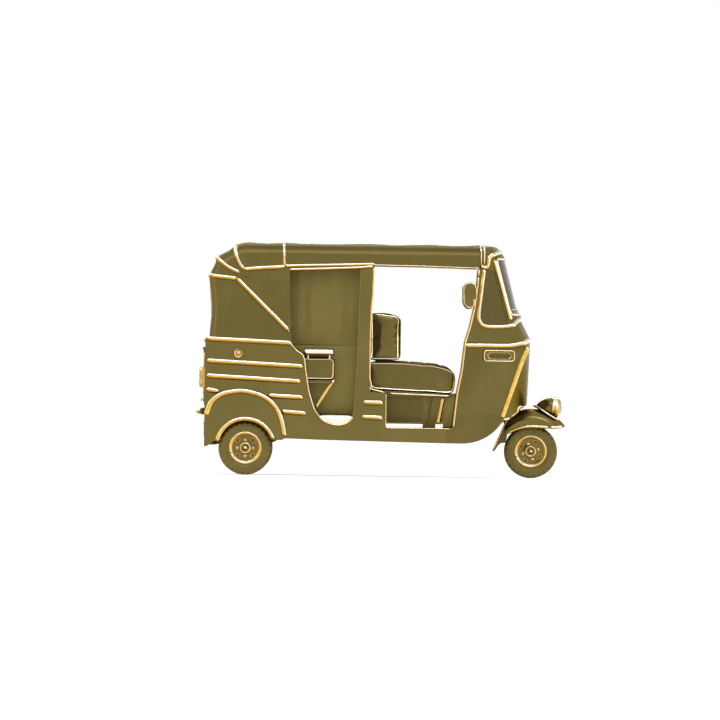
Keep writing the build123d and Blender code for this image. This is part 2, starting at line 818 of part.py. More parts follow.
front_tyre, front_rim = make_wheel(front_axle_x, 0, 90, front_axle_end_y)
rear_tyre, rear_rim = make_wheel(rear_axle_x, -rear_wheel_y, 130, -axle_outer_y)
pieces["front_tyre"] = front_tyre
pieces["front_rim"] = front_rim
pieces["rear_tyre_right"] = rear_tyre
pieces["rear_rim_right"] = rear_rim
pieces["rear_tyre_left"] = mirrored(rear_tyre)
pieces["rear_rim_left"] = mirrored(rear_rim)

os.makedirs("parts", exist_ok=True)
for name, piece in pieces.items():
    export_step(piece, f"parts/{name}.step")
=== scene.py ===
import bpy
import bmesh
import math
from mathutils import Matrix, Vector, noise
from mathutils.bvhtree import BVHTree


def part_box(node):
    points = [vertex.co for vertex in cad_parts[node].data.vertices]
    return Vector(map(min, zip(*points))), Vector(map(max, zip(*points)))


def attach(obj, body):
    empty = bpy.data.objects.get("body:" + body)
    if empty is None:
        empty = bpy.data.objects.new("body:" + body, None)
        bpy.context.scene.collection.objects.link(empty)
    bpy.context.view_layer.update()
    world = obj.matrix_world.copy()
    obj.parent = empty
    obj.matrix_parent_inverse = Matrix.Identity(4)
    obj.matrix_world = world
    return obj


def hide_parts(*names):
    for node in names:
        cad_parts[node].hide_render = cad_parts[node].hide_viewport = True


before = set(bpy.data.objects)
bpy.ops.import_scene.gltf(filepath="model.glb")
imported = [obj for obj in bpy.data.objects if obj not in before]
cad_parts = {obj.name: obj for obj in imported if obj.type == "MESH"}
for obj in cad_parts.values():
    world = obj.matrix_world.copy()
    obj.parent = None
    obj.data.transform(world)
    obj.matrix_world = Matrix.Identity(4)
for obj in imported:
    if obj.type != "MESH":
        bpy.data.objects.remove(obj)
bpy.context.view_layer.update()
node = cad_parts
print("frame loaded,", len(node), "nodes")


# Shader groups. Each one puts out colours, masks or heights only.
def startGroup(name, inputs, *masks, color=None):
    group = bpy.data.node_groups.new(name, "ShaderNodeTree")
    for label, value in inputs.items():
        kind = "NodeSocketColor" if isinstance(value, tuple) else "NodeSocketFloat"
        group.interface.new_socket(name=label, in_out="INPUT", socket_type=kind).default_value = value
    if color:
        group.interface.new_socket(name=color, in_out="OUTPUT", socket_type="NodeSocketColor")
    for label in masks:
        group.interface.new_socket(name=label, in_out="OUTPUT", socket_type="NodeSocketFloat")
    return group, group.nodes.new("NodeGroupInput").outputs, group.nodes.new("NodeGroupOutput").inputs


def put(tree, kind, inputs=None, **settings):
    made = tree.nodes.new(kind)
    for key, value in settings.items():
        setattr(made, key, value)
    for key, value in (inputs or {}).items():
        if isinstance(value, bpy.types.NodeSocket):
            tree.links.new(value, made.inputs[key])
        else:
            made.inputs[key].default_value = value
    return made


def calc(tree, operation, *values, clamp=False):
    made = put(tree, "ShaderNodeMath", dict(enumerate(values)), operation=operation, use_clamp=clamp)
    return made.outputs[0]


def times(tree, first, second, clamp=False):
    return calc(tree, "MULTIPLY", first, second, clamp=clamp)


def plus(tree, first, second, clamp=False):
    return calc(tree, "ADD", first, second, clamp=clamp)


def remap(tree, value, low, high, toLow=0.0, toHigh=1.0):
    ends = {"Value": value, "From Min": low, "From Max": high, "To Min": toLow, "To Max": toHigh}
    return put(tree, "ShaderNodeMapRange", ends).outputs["Result"]


def blendColor(tree, factor, first, second):
    # the sockets of the node's colour mode go by number
    return put(tree, "ShaderNodeMix", {0: factor, 6: first, 7: second}, data_type="RGBA").outputs[2]


def stretched(tree, scale=(1, 1, 1)):
    where = put(tree, "ShaderNodeTexCoord").outputs["Object"]
    return put(tree, "ShaderNodeMapping", {"Vector": where, "Scale": scale}).outputs["Vector"]


def noiseOn(tree, where, scale, detail, rough=0.5, twist=0.0, result="Fac"):
    inputs = {"Vector": where, "Scale": scale, "Detail": detail, "Roughness": rough, "Distortion": twist}
    return put(tree, "ShaderNodeTexNoise", inputs).outputs[result]


def giveOut(tree, out, **results):
    for label, value in results.items():
        tree.links.new(value, out[label])


def mottleGroup():
    # large soft patches and fine specks over one base colour
    inputs = {"Base": (0.2, 0.2, 0.2, 1.0), "Light": (0.3, 0.3, 0.3, 1.0), "Dark": (0.1, 0.1, 0.1, 1.0),
              "Patch Scale": 3.0, "Speck Scale": 90.0, "Amount": 0.5}
    group, given, out = startGroup("mottle", inputs, "Patches", "Specks", color="Color")
    where = stretched(group)
    patches = noiseOn(group, where, given["Patch Scale"], 5.0, 0.6)
    specks = noiseOn(group, where, given["Speck Scale"], 3.0, 0.7)
    bright = remap(group, patches, 0.5, 0.75)
    shade = remap(group, patches, 0.5, 0.25)
    amount = given["Amount"]
    color = blendColor(group, times(group, bright, amount), given["Base"], given["Light"])
    color = blendColor(group, times(group, shade, amount), color, given["Dark"])
    flecks = times(group, remap(group, specks, 0.58, 0.72), amount)
    color = blendColor(group, times(group, flecks, 0.5), color, given["Light"])
    giveOut(group, out, Color=color, Patches=patches, Specks=specks)
    return group


def dustGroup():
    # road dust that thins out with height above the ground
    group, given, out = startGroup("roadDust", {"Low": 0.0, "High": 0.5, "Amount": 0.4}, "Mask")
    where = stretched(group)
    height = put(group, "ShaderNodeSeparateXYZ", {"Vector": where}).outputs["Z"]
    spots = noiseOn(group, where, 14.0, 6.0, 0.65)
    fall = calc(group, "DIVIDE", calc(group, "SUBTRACT", given["High"], height),
                calc(group, "SUBTRACT", given["High"], given["Low"]), clamp=True)
    mask = times(group, calc(group, "POWER", fall, 1.6), remap(group, spots, 0.35, 0.65, 0.3, 1.0))
    giveOut(group, out, Mask=times(group, mask, given["Amount"], clamp=True))
    return group


def weaveGroup():
    # two crossing sets of threads, spaced in metres
    group, given, out = startGroup("weave", {"Thread": 0.003, "Fuzz": 0.3}, "Height", "Gaps")
    where = stretched(group)
    axes = put(group, "ShaderNodeSeparateXYZ", {"Vector": where}).outputs
    turn = calc(group, "DIVIDE", 2 * math.pi, given["Thread"])
    along = plus(group, axes["X"], times(group, axes["Y"], 0.35))
    up = plus(group, axes["Z"], times(group, axes["Y"], 0.94))
    warp = calc(group, "SINE", times(group, along, turn))
    weft = calc(group, "SINE", times(group, up, turn))
    crossing = times(group, warp, weft)
    fuzz = noiseOn(group, where, 420.0, 2.0)
    height = plus(group, remap(group, crossing, -1, 1), times(group, fuzz, given["Fuzz"]))
    giveOut(group, out, Height=height, Gaps=remap(group, crossing, -0.2, -1.0))
    return group


def grainGroup():
    # pebbled skin of vinyl, leathercloth and moulded rubber
    group, given, out = startGroup("pebble", {"Scale": 260.0, "Softness": 0.5}, "Height", "Creases")
    where = stretched(group)
    wander = noiseOn(group, where, 40.0, 2.0, result="Color")
    spread = put(group, "ShaderNodeVectorMath", {0: wander, 1: (0.006,) * 3}, operation="MULTIPLY").outputs[0]
    shifted = put(group, "ShaderNodeVectorMath", {0: where, 1: spread}, operation="ADD").outputs[0]
    cells = put(group, "ShaderNodeTexVoronoi", {"Vector": shifted, "Scale": given["Scale"]},
                feature="F1").outputs["Distance"]
    rounded = calc(group, "POWER", calc(group, "SUBTRACT", 1.0, cells, clamp=True), given["Softness"])
    folds = noiseOn(group, where, 26.0, 4.0, twist=0.8)
    height = plus(group, rounded, times(group, folds, 0.35))
    giveOut(group, out, Height=height, Creases=remap(group, cells, 0.35, 0.75))
    return group


def brushedGroup():
    # fine drawn lines and small scratches in polished metal
    group, given, out = startGroup("brushed", {"Line Scale": 240.0, "Scratches": 0.4}, "Lines", "Marks")
    lines = noiseOn(group, stretched(group, (0.04, 1, 1)), given["Line Scale"], 3.0)
    marks = noiseOn(group, stretched(group, (1, 1, 7)), 34.0, 7.0, 0.75)
    thin = times(group, remap(group, marks, 0.6, 0.66), given["Scratches"])
    giveOut(group, out, Lines=lines, Marks=thin)
    return group


def reliefGroup():
    # masks by which way a face points, for painting light and shade into colour: Upper where faces point up,
    # Lower where they point down, Crown along the very top
    group, given, out = startGroup("relief", {"Softness": 0.4, "Start": 0.25}, "Upper", "Lower", "Crown")
    normal = put(group, "ShaderNodeNewGeometry").outputs["Normal"]
    axes = put(group, "ShaderNodeSeparateXYZ", {"Vector": normal}).outputs
    lean = plus(group, axes["Z"], times(group, axes["X"], 0.45))
    end = plus(group, given["Start"], given["Softness"])
    upper = remap(group, lean, given["Start"], end)
    lower = remap(group, times(group, lean, -1.0), given["Start"], end)
    giveOut(group, out, Upper=upper, Lower=lower, Crown=remap(group, lean, 0.6, 1.0))
    return group


groups = {"mottle": mottleGroup(), "roadDust": dustGroup(), "weave": weaveGroup(), "pebble": grainGroup(),
          "brushed": brushedGroup(), "relief": reliefGroup()}


def use(tree, name, **inputs):
    made = put(tree, "ShaderNodeGroup", node_tree=groups[name])
    for key, value in inputs.items():
        label = "".join(" " + c if c.isupper() else c for c in key)
        made.inputs[label[0].upper() + label[1:]].default_value = value
    return made.outputs


def shade(red, green, blue):
    # a colour given in 0 to 255 steps, as linear light
    def linear(step):
        step = step / 255
        return step / 12.92 if step <= 0.04045 else ((step + 0.055) / 1.055) ** 2.4
    return (linear(red), linear(green), linear(blue), 1.0)


# Finishes. Olive gold everywhere, told apart by gloss, grain and wear, with painted highlights and painted
# shade on beads, seats, canvas, cowl and interior panels.
tones = {
    "olive": shade(116, 103, 57), "oliveLight": shade(136, 122, 70), "oliveDark": shade(104, 92, 50),
    "gold": shade(226, 184, 88), "goldLight": shade(255, 226, 150), "goldDark": shade(176, 128, 44),
    # below: pale paints highlights on bead tops and is also the polished plates' own colour; the tone after
    # it paints shade on bead undersides
    "dust": shade(132, 118, 74), "pale": shade(255, 250, 232), "tarnish": shade(138, 92, 24),
    # below: the lining and footwell tones are paler olive, painted light for interior panels in shade
    "edge": (0.45, 0.39, 0.20, 1.0), "lining": shade(140, 126, 72), "footwell": shade(178, 160, 94),
    # below: the first tone is painted shade for canvas faces that point up
    "soot": shade(78, 69, 36), "glassEdge": (0.26, 0.22, 0.10, 1.0),
    # below: crest paints shade along the very top of each bead
    "crest": shade(152, 128, 66), "cowlPaintedShade": shade(104, 92, 51), "oliveMid": shade(109, 97, 53),
    # below: painted light for the tops of the seats
    "seatTop": shade(182, 164, 98),
}


def newFinish(name, **settings):
    made = bpy.data.materials.new(name)
    made.use_nodes = True
    shader = made.node_tree.nodes["Principled BSDF"]
    for key, value in settings.items():
        shader.inputs[key.replace("_", " ")].default_value = value
    return made, made.node_tree


def oliveSpots(tree, base, patchScale, speckScale, amount):
    return use(tree, "mottle", base=tones[base], light=tones["oliveLight"], dark=tones["oliveDark"],
               patchScale=patchScale, speckScale=speckScale, amount=amount)


def dress(made, gloss, height, strength, distance, color=None):
    # links what changes over the surface to the material's shader
    tree, shader = made.node_tree, made.node_tree.nodes["Principled BSDF"]
    bump = put(tree, "ShaderNodeBump", {"Strength": strength, "Distance": distance, "Height": height})
    tree.links.new(bump.outputs["Normal"], shader.inputs["Normal"])
    tree.links.new(gloss, shader.inputs["Roughness"])
    if color:
        tree.links.new(color, shader.inputs["Base Color"])
    return made


def gildedPaint(name, metallic=0.92, rough=(0.20, 0.30), base="olive", dust=0.22):
    made, tree = newFinish(name, Metallic=metallic, Specular_Tint=tones["edge"])
    spots = oliveSpots(tree, base, 2.2, 120.0, 0.35)
    film = use(tree, "roadDust", low=0.0, high=0.55, amount=dust)["Mask"]
    gloss = remap(tree, spots["Patches"], 0.35, 0.65, *rough)
    gloss = plus(tree, gloss, times(tree, film, 0.35), clamp=True)
    color = blendColor(tree, film, spots["Color"], tones["dust"])
    return dress(made, gloss, spots["Specks"], 0.05, 0.0005, color)


def brightGold(name, base="gold", light="goldLight", dark="goldDark", rough=0.16, scratches=0.3,
               softness=0.35, start=0.02, crest=0.85):
    made, tree = newFinish(name, Metallic=1.0)
    spots = use(tree, "mottle", base=tones[base], light=tones[light], dark=tones[dark],
                patchScale=26.0, speckScale=300.0, amount=0.55)
    drawn = use(tree, "brushed", lineScale=260.0, scratches=scratches)
    # painted light by which way a face points: a pale painted highlight where faces point up, painted shade
    # along the crest, and painted shade where faces point down
    turns = use(tree, "relief", softness=softness, start=start)
    marked = blendColor(tree, drawn["Marks"], spots["Color"], tones[dark])
    paintedTopShading = blendColor(tree, turns["Upper"], marked, tones["pale"])
    paintedTopShading = blendColor(tree, times(tree, turns["Crown"], crest), paintedTopShading, tones["crest"])
    gloss = remap(tree, drawn["Lines"], 0.3, 0.7, rough - 0.05, rough + 0.08)
    gloss = plus(tree, gloss, times(tree, drawn["Marks"], 0.3))
    color = blendColor(tree, turns["Lower"], paintedTopShading, tones["tarnish"])
    return dress(made, gloss, drawn["Lines"], 0.08, 0.0004, color)


def coatedCanvas(name, metallic=0.75, rough=(0.30, 0.40), relief=0.25, base="olive", upper=0.45):
    made, tree = newFinish(name, Metallic=metallic, Specular_Tint=tones["edge"])
    spots = oliveSpots(tree, base, 2.6, 160.0, 0.35)
    threads = use(tree, "weave", thread=0.0032, fuzz=0.35)
    gaps = times(tree, threads["Gaps"], 0.35)
    woven = blendColor(tree, gaps, spots["Color"], tones["oliveDark"])
    # faces that point up are darkened towards a deep olive: painted shade on the canvas top
    paintedTopShade = times(tree, use(tree, "relief", softness=0.7, start=0.1)["Upper"], upper)
    gloss = remap(tree, spots["Patches"], 0.3, 0.7, *rough)
    paintedShadeColor = blendColor(tree, paintedTopShade, woven, tones["soot"])
    return dress(made, gloss, threads["Height"], relief, 0.0005, paintedShadeColor)


def seatVinyl(name):
    made, tree = newFinish(name, Metallic=0.75, Specular_Tint=tones["edge"])
    spots = oliveSpots(tree, "olive", 5.0, 200.0, 0.5)
    skin = use(tree, "pebble", scale=330.0, softness=0.6)
    worn = times(tree, skin["Creases"], 0.45)
    grained = blendColor(tree, worn, spots["Color"], tones["oliveDark"])
    # faces that point up are lightened towards a paler tone: painted light on the seat tops
    paintedTopShading = times(tree, use(tree, "relief", softness=0.5, start=0.25)["Upper"], 0.85)
    gloss = remap(tree, skin["Height"], 0.4, 1.2, 0.42, 0.28)
    topped = blendColor(tree, paintedTopShading, grained, tones["seatTop"])
    return dress(made, gloss, skin["Height"], 0.2, 0.0007, topped)


def mouldedRubber(name, base="olive", dust=0.5):
    made, tree = newFinish(name, Metallic=0.7, Specular_Tint=tones["edge"])
    spots = oliveSpots(tree, base, 12.0, 420.0, 0.5)
    film = use(tree, "roadDust", low=0.0, high=0.4, amount=dust)["Mask"]
    gloss = remap(tree, spots["Specks"], 0.3, 0.7, 0.36, 0.5)
    skin = use(tree, "pebble", scale=500.0, softness=0.7)["Height"]
    return dress(made, gloss, skin, 0.2, 0.0005, blendColor(tree, film, spots["Color"], tones["dust"]))


def bronzeGlass(name, tint, metallic, rough=0.03):
    made, tree = newFinish(name, Base_Color=tint, Metallic=metallic, Transmission_Weight=1.0, IOR=1.45,
                           Specular_IOR_Level=0.05, Specular_Tint=tones["glassEdge"])
    streaks = noiseOn(tree, stretched(tree, (1, 1, 3)), 9.0, 5.0)
    return dress(made, remap(tree, streaks, 0.45, 0.75, rough, rough + 0.12), streaks, 0.02, 0.0005)


finish = {
    "body": gildedPaint("gildedBodyPaint"),
    "under": gildedPaint("gildedFramePaint", metallic=0.6, rough=(0.42, 0.6), base="oliveDark", dust=0.5),
    "seatFrame": gildedPaint("gildedSeatFrame", metallic=0.75, rough=(0.34, 0.5), dust=0.15),
    "bead": brightGold("brightGoldTrim"),
    "plate": brightGold("palePolishedPlate", base="pale", light="pale", dark="goldLight", rough=0.12,
                        scratches=0.25, crest=0.0),
    "satin": brightGold("satinGold", rough=0.3),
    "cast": gildedPaint("castMetal", metallic=0.9, rough=(0.45, 0.6), base="oliveLight", dust=0.4),
    # the cowl takes the body paint in a darker olive: painted shade
    "cowl": gildedPaint("gildedCowlPaintedShade", base="cowlPaintedShade"),
    "canvas": coatedCanvas("coatedCanvas", base="oliveMid"),
    # curtain and door lining take a paler olive: painted light for the shaded doorway
    "curtain": coatedCanvas("curtainCanvas", metallic=0.9, rough=(0.18, 0.24), relief=0.1, base="lining",
                            upper=0.0),
    "lining": gildedPaint("doorLining", rough=(0.14, 0.20), base="lining", dust=0.0),
    # the footwell takes a still paler olive: painted light for the shaded footwell
    "footwell": gildedPaint("footwellPaint", rough=(0.14, 0.20), base="footwell", dust=0.0),
    "vinyl": seatVinyl("seatVinyl"),
    "tyre": mouldedRubber("tyreRubber"),
    "rubber": mouldedRubber("softRubber", base="oliveDark", dust=0.3),
    "glass": bronzeGlass("bronzeGlass", (0.21, 0.17, 0.06, 1.0), 0.58),
    "lens": bronzeGlass("amberLens", (0.75, 0.50, 0.18, 1.0), 0.6, rough=0.05),
    "clear": bronzeGlass("paleLens", (0.84, 0.70, 0.38, 1.0), 0.35, rough=0.02),
}


def paint(piece, name):
    piece.data.materials.clear()
    piece.data.materials.append(finish[name])
    return piece


nodeFinish = {
    "cowl": ["cowl_right", "cowl_left"],
    "body": ["nose_panel", "windscreen_frame", "body_side_right", "body_side_left", "rear_quarter_right",
             "rear_quarter_left", "rear_fenders", "rear_panel", "engine_lid", "partition", "front_mudguard",
             "number_plate", "mirrors", "front_rim", "rear_rim_right", "rear_rim_left", "side_vents"],
    "seatFrame": ["driver_seat_frame", "engine_bulkhead", "dashboard", "floor_pan"],
    "under": ["belly_pan", "chassis_frame", "steering_head", "rear_arms", "drive_shafts", "front_fork",
              "hood_frame", "rear_springs", "front_damper"],
    "bead": ["rear_bumper", "filler_cap", "hood_stays"],
    "satin": ["steering_column", "headlamp"],
    "cast": ["engine_block"],
    "canvas": ["hood_canopy", "side_curtain"],
    "vinyl": ["passenger_cushion", "passenger_backrest", "driver_cushion", "driver_backrest"],
    "tyre": ["front_tyre", "rear_tyre_right", "rear_tyre_left"],
    "rubber": ["mud_flap"],
    "glass": ["windscreen_glass", "quarter_glass"],
    "lens": ["tail_lamps"],
}
for name, members in nodeFinish.items():
    for member in members:
        paint(node[member], name)
print("finishes on", sum(len(m) for m in nodeFinish.values()), "nodes")


# Ways of making meshes: ridges along lines, turned shapes, plates and boxes with soft edges.
toRight, toLeft, toFront, toBack, toTop = (0, -1, 0), (0, 1, 0), (1, 0, 0), (-1, 0, 0), (0, 0, 1)


def placeNew(name, data):
    made = bpy.data.objects.new(name, data)
    bpy.context.scene.collection.objects.link(made)
    return made


def addPiece(name, parts, look, body="body", crease=40):
    verts, faces = gather(parts)
    made = bpy.data.meshes.new(name)
    made.from_pydata([tuple(v) for v in verts], [], faces)
    made.validate()
    made.shade_smooth()
    made.set_sharp_from_angle(angle=math.radians(crease))
    piece = placeNew(name, made)
    paint(piece, look)
    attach(piece, body)
    return piece


def gather(parts):
    verts, faces = [], []
    for someVerts, someFaces in parts:
        start = len(verts)
        verts += [Vector(v) for v in someVerts]
        faces += [tuple(start + i for i in face) for face in someFaces]
    return verts, faces


def acrossFrom(v):
    return Vector((v[0], -v[1], v[2]))


def bothSides(part):
    # the part, and the same part on the other side of the vehicle
    verts, faces = part
    return [part, ([acrossFrom(v) for v in verts], [tuple(reversed(face)) for face in faces])]


def carriedOver(half):
    # a row that ends on the centreline, carried on to the other side
    return half + [acrossFrom(v) for v in reversed(half[:-1])]


def moved(part, place=(0, 0, 0), turn=None):
    matrix = Matrix.Translation(place) @ (turn or Matrix()).to_4x4()
    verts, faces = part
    return [matrix @ Vector(v) for v in verts], faces


def spin(degrees, axis):
    return Matrix.Rotation(math.radians(degrees), 4, axis)


def circle(count):
    return [2 * math.pi * k / count for k in range(count)]


def aroundAxle(radius, angle, y=0.0):
    return Vector((radius * math.cos(angle), y, radius * math.sin(angle)))


def sideView(points, y=0.0):
    # places given as (x, z) in millimetres, put at one distance across
    return [Vector((x / 1000, y, z / 1000)) for x, z in points]


def standing(outline, y=0.0):
    # an outline given as (x, z) in metres, put at one distance across
    return [Vector((x, y, z)) for x, z in outline]


def facingFront(outline, x):
    # an outline given as (y, z) in metres, put at one distance along
    return [Vector((x, y, z)) for y, z in outline]


def roundedBox(cx, cz, halfX, halfZ, corner, steps=5):
    outline = []
    for quarter, (sx, sz) in enumerate(((1, 1), (-1, 1), (-1, -1), (1, -1))):
        for k in range(steps + 1):
            a = math.radians(90 * quarter + 90 / steps * k)
            outline.append((cx + sx * (halfX - corner) + corner * math.cos(a),
                            cz + sz * (halfZ - corner) + corner * math.sin(a)))
    return outline


def distances(line):
    # how far along the line each of its places is
    far = [0.0]
    for a, b in zip(line, line[1:]):
        far.append(far[-1] + (b - a).length)
    return far


def evenly(points, step=0.012, closed=False, curved=True):
    # a smooth line through the points with evenly spaced places
    points = [Vector(p) for p in points]
    count, fine = len(points), 12
    dense = []
    for i in range(count if closed else count - 1):
        def at(k):
            return points[k % count] if closed else points[min(max(k, 0), count - 1)]
        before, first, second, after = at(i - 1), at(i), at(i + 1), at(i + 2)
        for k in range(fine):
            t = k / fine
            if curved and count > 2:
                dense.append(0.5 * (2 * first + (second - before) * t
                                    + (2 * before - 5 * first + 4 * second - after) * t * t
                                    + (3 * first - before - 3 * second + after) * t ** 3))
            else:
                dense.append(first.lerp(second, t))
    dense.append(dense[0].copy() if closed else points[-1])
    lengths = distances(dense)
    pieces = max(2, round(lengths[-1] / step))
    line, k = [], 0
    for i in range(pieces + (0 if closed else 1)):
        goal = lengths[-1] * i / pieces
        while k < len(lengths) - 2 and lengths[k + 1] < goal:
            k += 1
        span = lengths[k + 1] - lengths[k]
        line.append(dense[k].lerp(dense[k + 1], (goal - lengths[k]) / span if span else 0))
    return line


def alongLine(line, i, closed):
    last = len(line) - 1
    before = line[i - 1] if closed or i else line[0]
    after = line[(i + 1) % len(line)] if closed or i < last else line[last]
    return (after - before).normalized()


def ridge(line, normals, width, height, sink=0.003, closed=False, steps=8):
    # a half-round moulding that lies on a surface and tapers round at its ends
    half = width / 2
    far = distances(line)
    rings = []
    for i, place in enumerate(line):
        ahead = alongLine(line, i, closed)
        normal = normals[i] if isinstance(normals, list) else Vector(normals)
        across = ahead.cross(normal).normalized()
        normal = across.cross(ahead).normalized()
        room = half if closed else min(far[i], far[-1] - far[i], half)
        size = math.sqrt(max(0.0, 1 - ((half - room) / half) ** 2))
        ring = [place + across * half * size - normal * sink]
        for k in range(steps + 1):
            angle = math.pi * k / steps
            ring.append(place + across * half * size * math.cos(angle)
                        + normal * height * size * math.sin(angle))
        ring.append(place - across * half * size - normal * sink)
        rings.append(ring)
    return bridge(rings, closed)


def bead(points, normal, width, height, step=0.012, closed=False, **settings):
    # a moulding through the points that faces one way
    line = evenly(points, step, closed, curved=not closed)
    return ridge(line, normal, width, height, closed=closed, **settings)


def bridge(rings, closed=False, loop=True, capped=False):
    count = len(rings[0])
    verts = [v for ring in rings for v in ring]
    faces = []
    for i in range(len(rings) if closed else len(rings) - 1):
        nextRing = (i + 1) % len(rings)
        for k in range(count if loop else count - 1):
            after = (k + 1) % count
            faces.append((i * count + k, nextRing * count + k, nextRing * count + after, i * count + after))
    if capped:
        faces.append(tuple(range(count)))
        faces.append(tuple(reversed(range((len(rings) - 1) * count, len(rings) * count))))
    return verts, faces


def tube(line, radius, sides=12, closed=False):
    line = [Vector(p) for p in line]
    rings = []
    upward = alongLine(line, 0, closed).orthogonal().normalized()
    for i, place in enumerate(line):
        ahead = alongLine(line, i, closed)
        upward = (upward - ahead * upward.dot(ahead)).normalized()
        across = ahead.cross(upward)
        size = radius[i] if isinstance(radius, list) else radius
        rings.append([place + (upward * math.cos(a) + across * math.sin(a)) * size for a in circle(sides)])
    return bridge(rings, closed, capped=not closed)


def turned(profile, sides=48, axis="Y", centre=(0, 0, 0)):
    # profile holds (distance from the axis, place along it)
    turn = {"X": Matrix.Rotation(math.pi / 2, 3, "Y"), "Y": Matrix.Rotation(-math.pi / 2, 3, "X"),
            "Z": Matrix.Identity(3)}[axis]
    rings = []
    for angle in circle(sides):
        rings.append([Vector(centre) + turn @ Vector((r * math.cos(angle), r * math.sin(angle), s))
                      for r, s in profile])
    return bridge(rings, closed=True, loop=False)


def rounded(bm, edge, steps):
    # the bmesh with soft edges, read out as a part
    if edge:
        bmesh.ops.bevel(bm, geom=bm.edges[:], offset=edge, segments=steps, profile=0.6, affect="EDGES")
    bm.verts.index_update()
    part = [v.co.copy() for v in bm.verts], [tuple(v.index for v in f.verts) for f in bm.faces]
    bm.free()
    return part


def softBox(low, high, edge=0.006, steps=2):
    low, high = Vector(low), Vector(high)
    size = high - low
    bm = bmesh.new()
    place = Matrix.Translation((low + high) / 2) @ Matrix.Diagonal((*size, 1))
    bmesh.ops.create_cube(bm, size=1, matrix=place)
    return rounded(bm, min(edge, min(size) * 0.49), steps)


def plate(outline, low, high, edge=0.002):
    # a flat shape (x, z) with rounded rims, standing between two places across
    bm = bmesh.new()
    face = bm.faces.new([bm.verts.new((x, low, z)) for x, z in outline])
    grown = bmesh.ops.extrude_face_region(bm, geom=[face])["geom"]
    grownVerts = [g for g in grown if isinstance(g, bmesh.types.BMVert)]
    bmesh.ops.translate(bm, vec=(0, high - low, 0), verts=grownVerts)
    bmesh.ops.recalc_face_normals(bm, faces=bm.faces[:])
    return rounded(bm, edge, 2)


def treeOf(objects):
    verts, faces = gather(([o.matrix_world @ v.co for v in o.data.vertices],
                           [tuple(p.vertices) for p in o.data.polygons]) for o in objects)
    return BVHTree.FromPolygons(verts, faces)


def skinOf(*names):
    return treeOf([node[n] for n in names])


def against(normal, heading):
    return normal if normal.dot(heading) < 0 else -normal


def softened(normals, reach=2):
    # each direction averaged with those near it
    near = [normals[max(0, i - reach):i + reach + 1] for i in range(len(normals))]
    return [sum(some, Vector()).normalized() for some in near]


def press(skin, points, heading):
    # each place moved along the heading onto the skin, with the skin's own normal there
    heading = Vector(heading)
    line, normals = [], []
    for p in points:
        place, normal, _, _ = skin.ray_cast(p - heading * 3, heading)
        if place:
            line.append(place)
            normals.append(against(normal, heading))
    return line, softened(normals)


def pressed(skin, points, heading, width, height, step=0.012, closed=False, **settings):
    # a moulding through the points that lies on the skin
    line, normals = press(skin, evenly(points, step, closed, curved=not closed), heading)
    return ridge(line, normals, width, height, closed=closed, **settings)


# Raised mouldings pressed into the body: belt rail, ribs and arch rims, both sides
sideY = -0.610
ribs = {
    "width": 0.038, "height": 0.012,
    "lines": [[(-1236, 963), (-636, 939)], [(-1240, 807), (-554, 774)], [(-1242, 701), (-570, 667)],
              [(-1244, 604), (-1147, 588)], [(-799, 564), (-551, 554)], [(-705, 452), (-528, 440)],
              [(-124, 524), (18, 523)], [(-133, 421), (16, 416)]],
}


def pressRibs():
    parts = []
    for ends in ribs["lines"]:
        parts += bothSides(bead(sideView(ends, sideY), toRight, ribs["width"], ribs["height"]))
    addPiece("sideRibs", parts, "bead")


fender = {
    "centre": (-957, 190), "radius": 207, "from": 17, "to": 169, "face": -0.650,
    "innerWidth": 0.032, "outerWidth": 0.036, "height": 0.010,
    "outer": [(-1240, 410), (-1206, 506), (-1140, 562), (-1052, 588), (-963, 592), (-848, 562), (-760, 500),
              (-709, 408), (-684, 300), (-682, 272)],
}


def pressFenderRims():
    x, z = fender["centre"]
    turns = [math.radians(a) for a in range(fender["from"], fender["to"] + 1, 4)]
    inner = [(x + fender["radius"] * math.cos(a), z + fender["radius"] * math.sin(a)) for a in turns]
    parts = []
    for points, width in ((fender["outer"], fender["outerWidth"]), (inner, fender["innerWidth"])):
        parts += bothSides(bead(sideView(points, fender["face"]), toRight, width, fender["height"]))
    addPiece("fenderRims", parts, "bead")


cap = {
    # the wing's corners are measured from the place
    "place": (-1.014, 0, 0.863),
    "wing": ((-0.004, -0.637, -0.013), (0.004, -0.622, 0.013)), "wingEdge": 0.003,
    "profile": [(0.0, -0.628), (0.010, -0.630), (0.014, -0.628), (0.017, -0.622), (0.020, -0.622),
                (0.024, -0.630), (0.030, -0.632), (0.035, -0.627), (0.036, -0.618), (0.036, -0.608)],
}


def makeFillerCap():
    body = turned(cap["profile"], 40, "Y", cap["place"])
    low, high = ([c + d for c, d in zip(cap["place"], corner)] for corner in cap["wing"])
    piece = addPiece("fillerCap", [body, softBox(low, high, cap["wingEdge"])], "bead")
    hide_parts("filler_cap")


# places, width, height and finish of each line round the doorways
doorEdges = {
    "passenger": ([(-648, 938), (-600, 885), (-553, 845), (-534, 735), (-516, 622), (-496, 545),
                   (-471, 473), (-442, 430), (-413, 396), (-360, 370), (-299, 360), (-250, 370),
                   (-215, 392), (-198, 425)], 0.014, 0.006, "bead"),
    "driver": ([(-60, 1484), (-66, 1300), (-76, 1175), (-80, 960), (-80, 700), (-62, 618), (30, 597)],
               0.014, 0.006, "bead"),
    "pillar": ([(518, 356), (530, 470), (543, 590), (575, 758), (598, 965), (628, 1064), (658, 1199),
                (680, 1384), (686, 1484)], 0.014, 0.006, "bead"),
    "recess": ([(38, 588), (38, 352), (48, 345), (505, 345), (517, 352)], 0.010, 0.006, "bead"),
    "rear": ([(-660, 1478), (-657, 1200), (-648, 945)], 0.010, 0.005, "cast"),
    "front": ([(-196, 432), (-187, 470), (-176, 650), (-167, 825), (-159, 1150), (-152, 1484)],
              0.010, 0.005, "cast"),
}


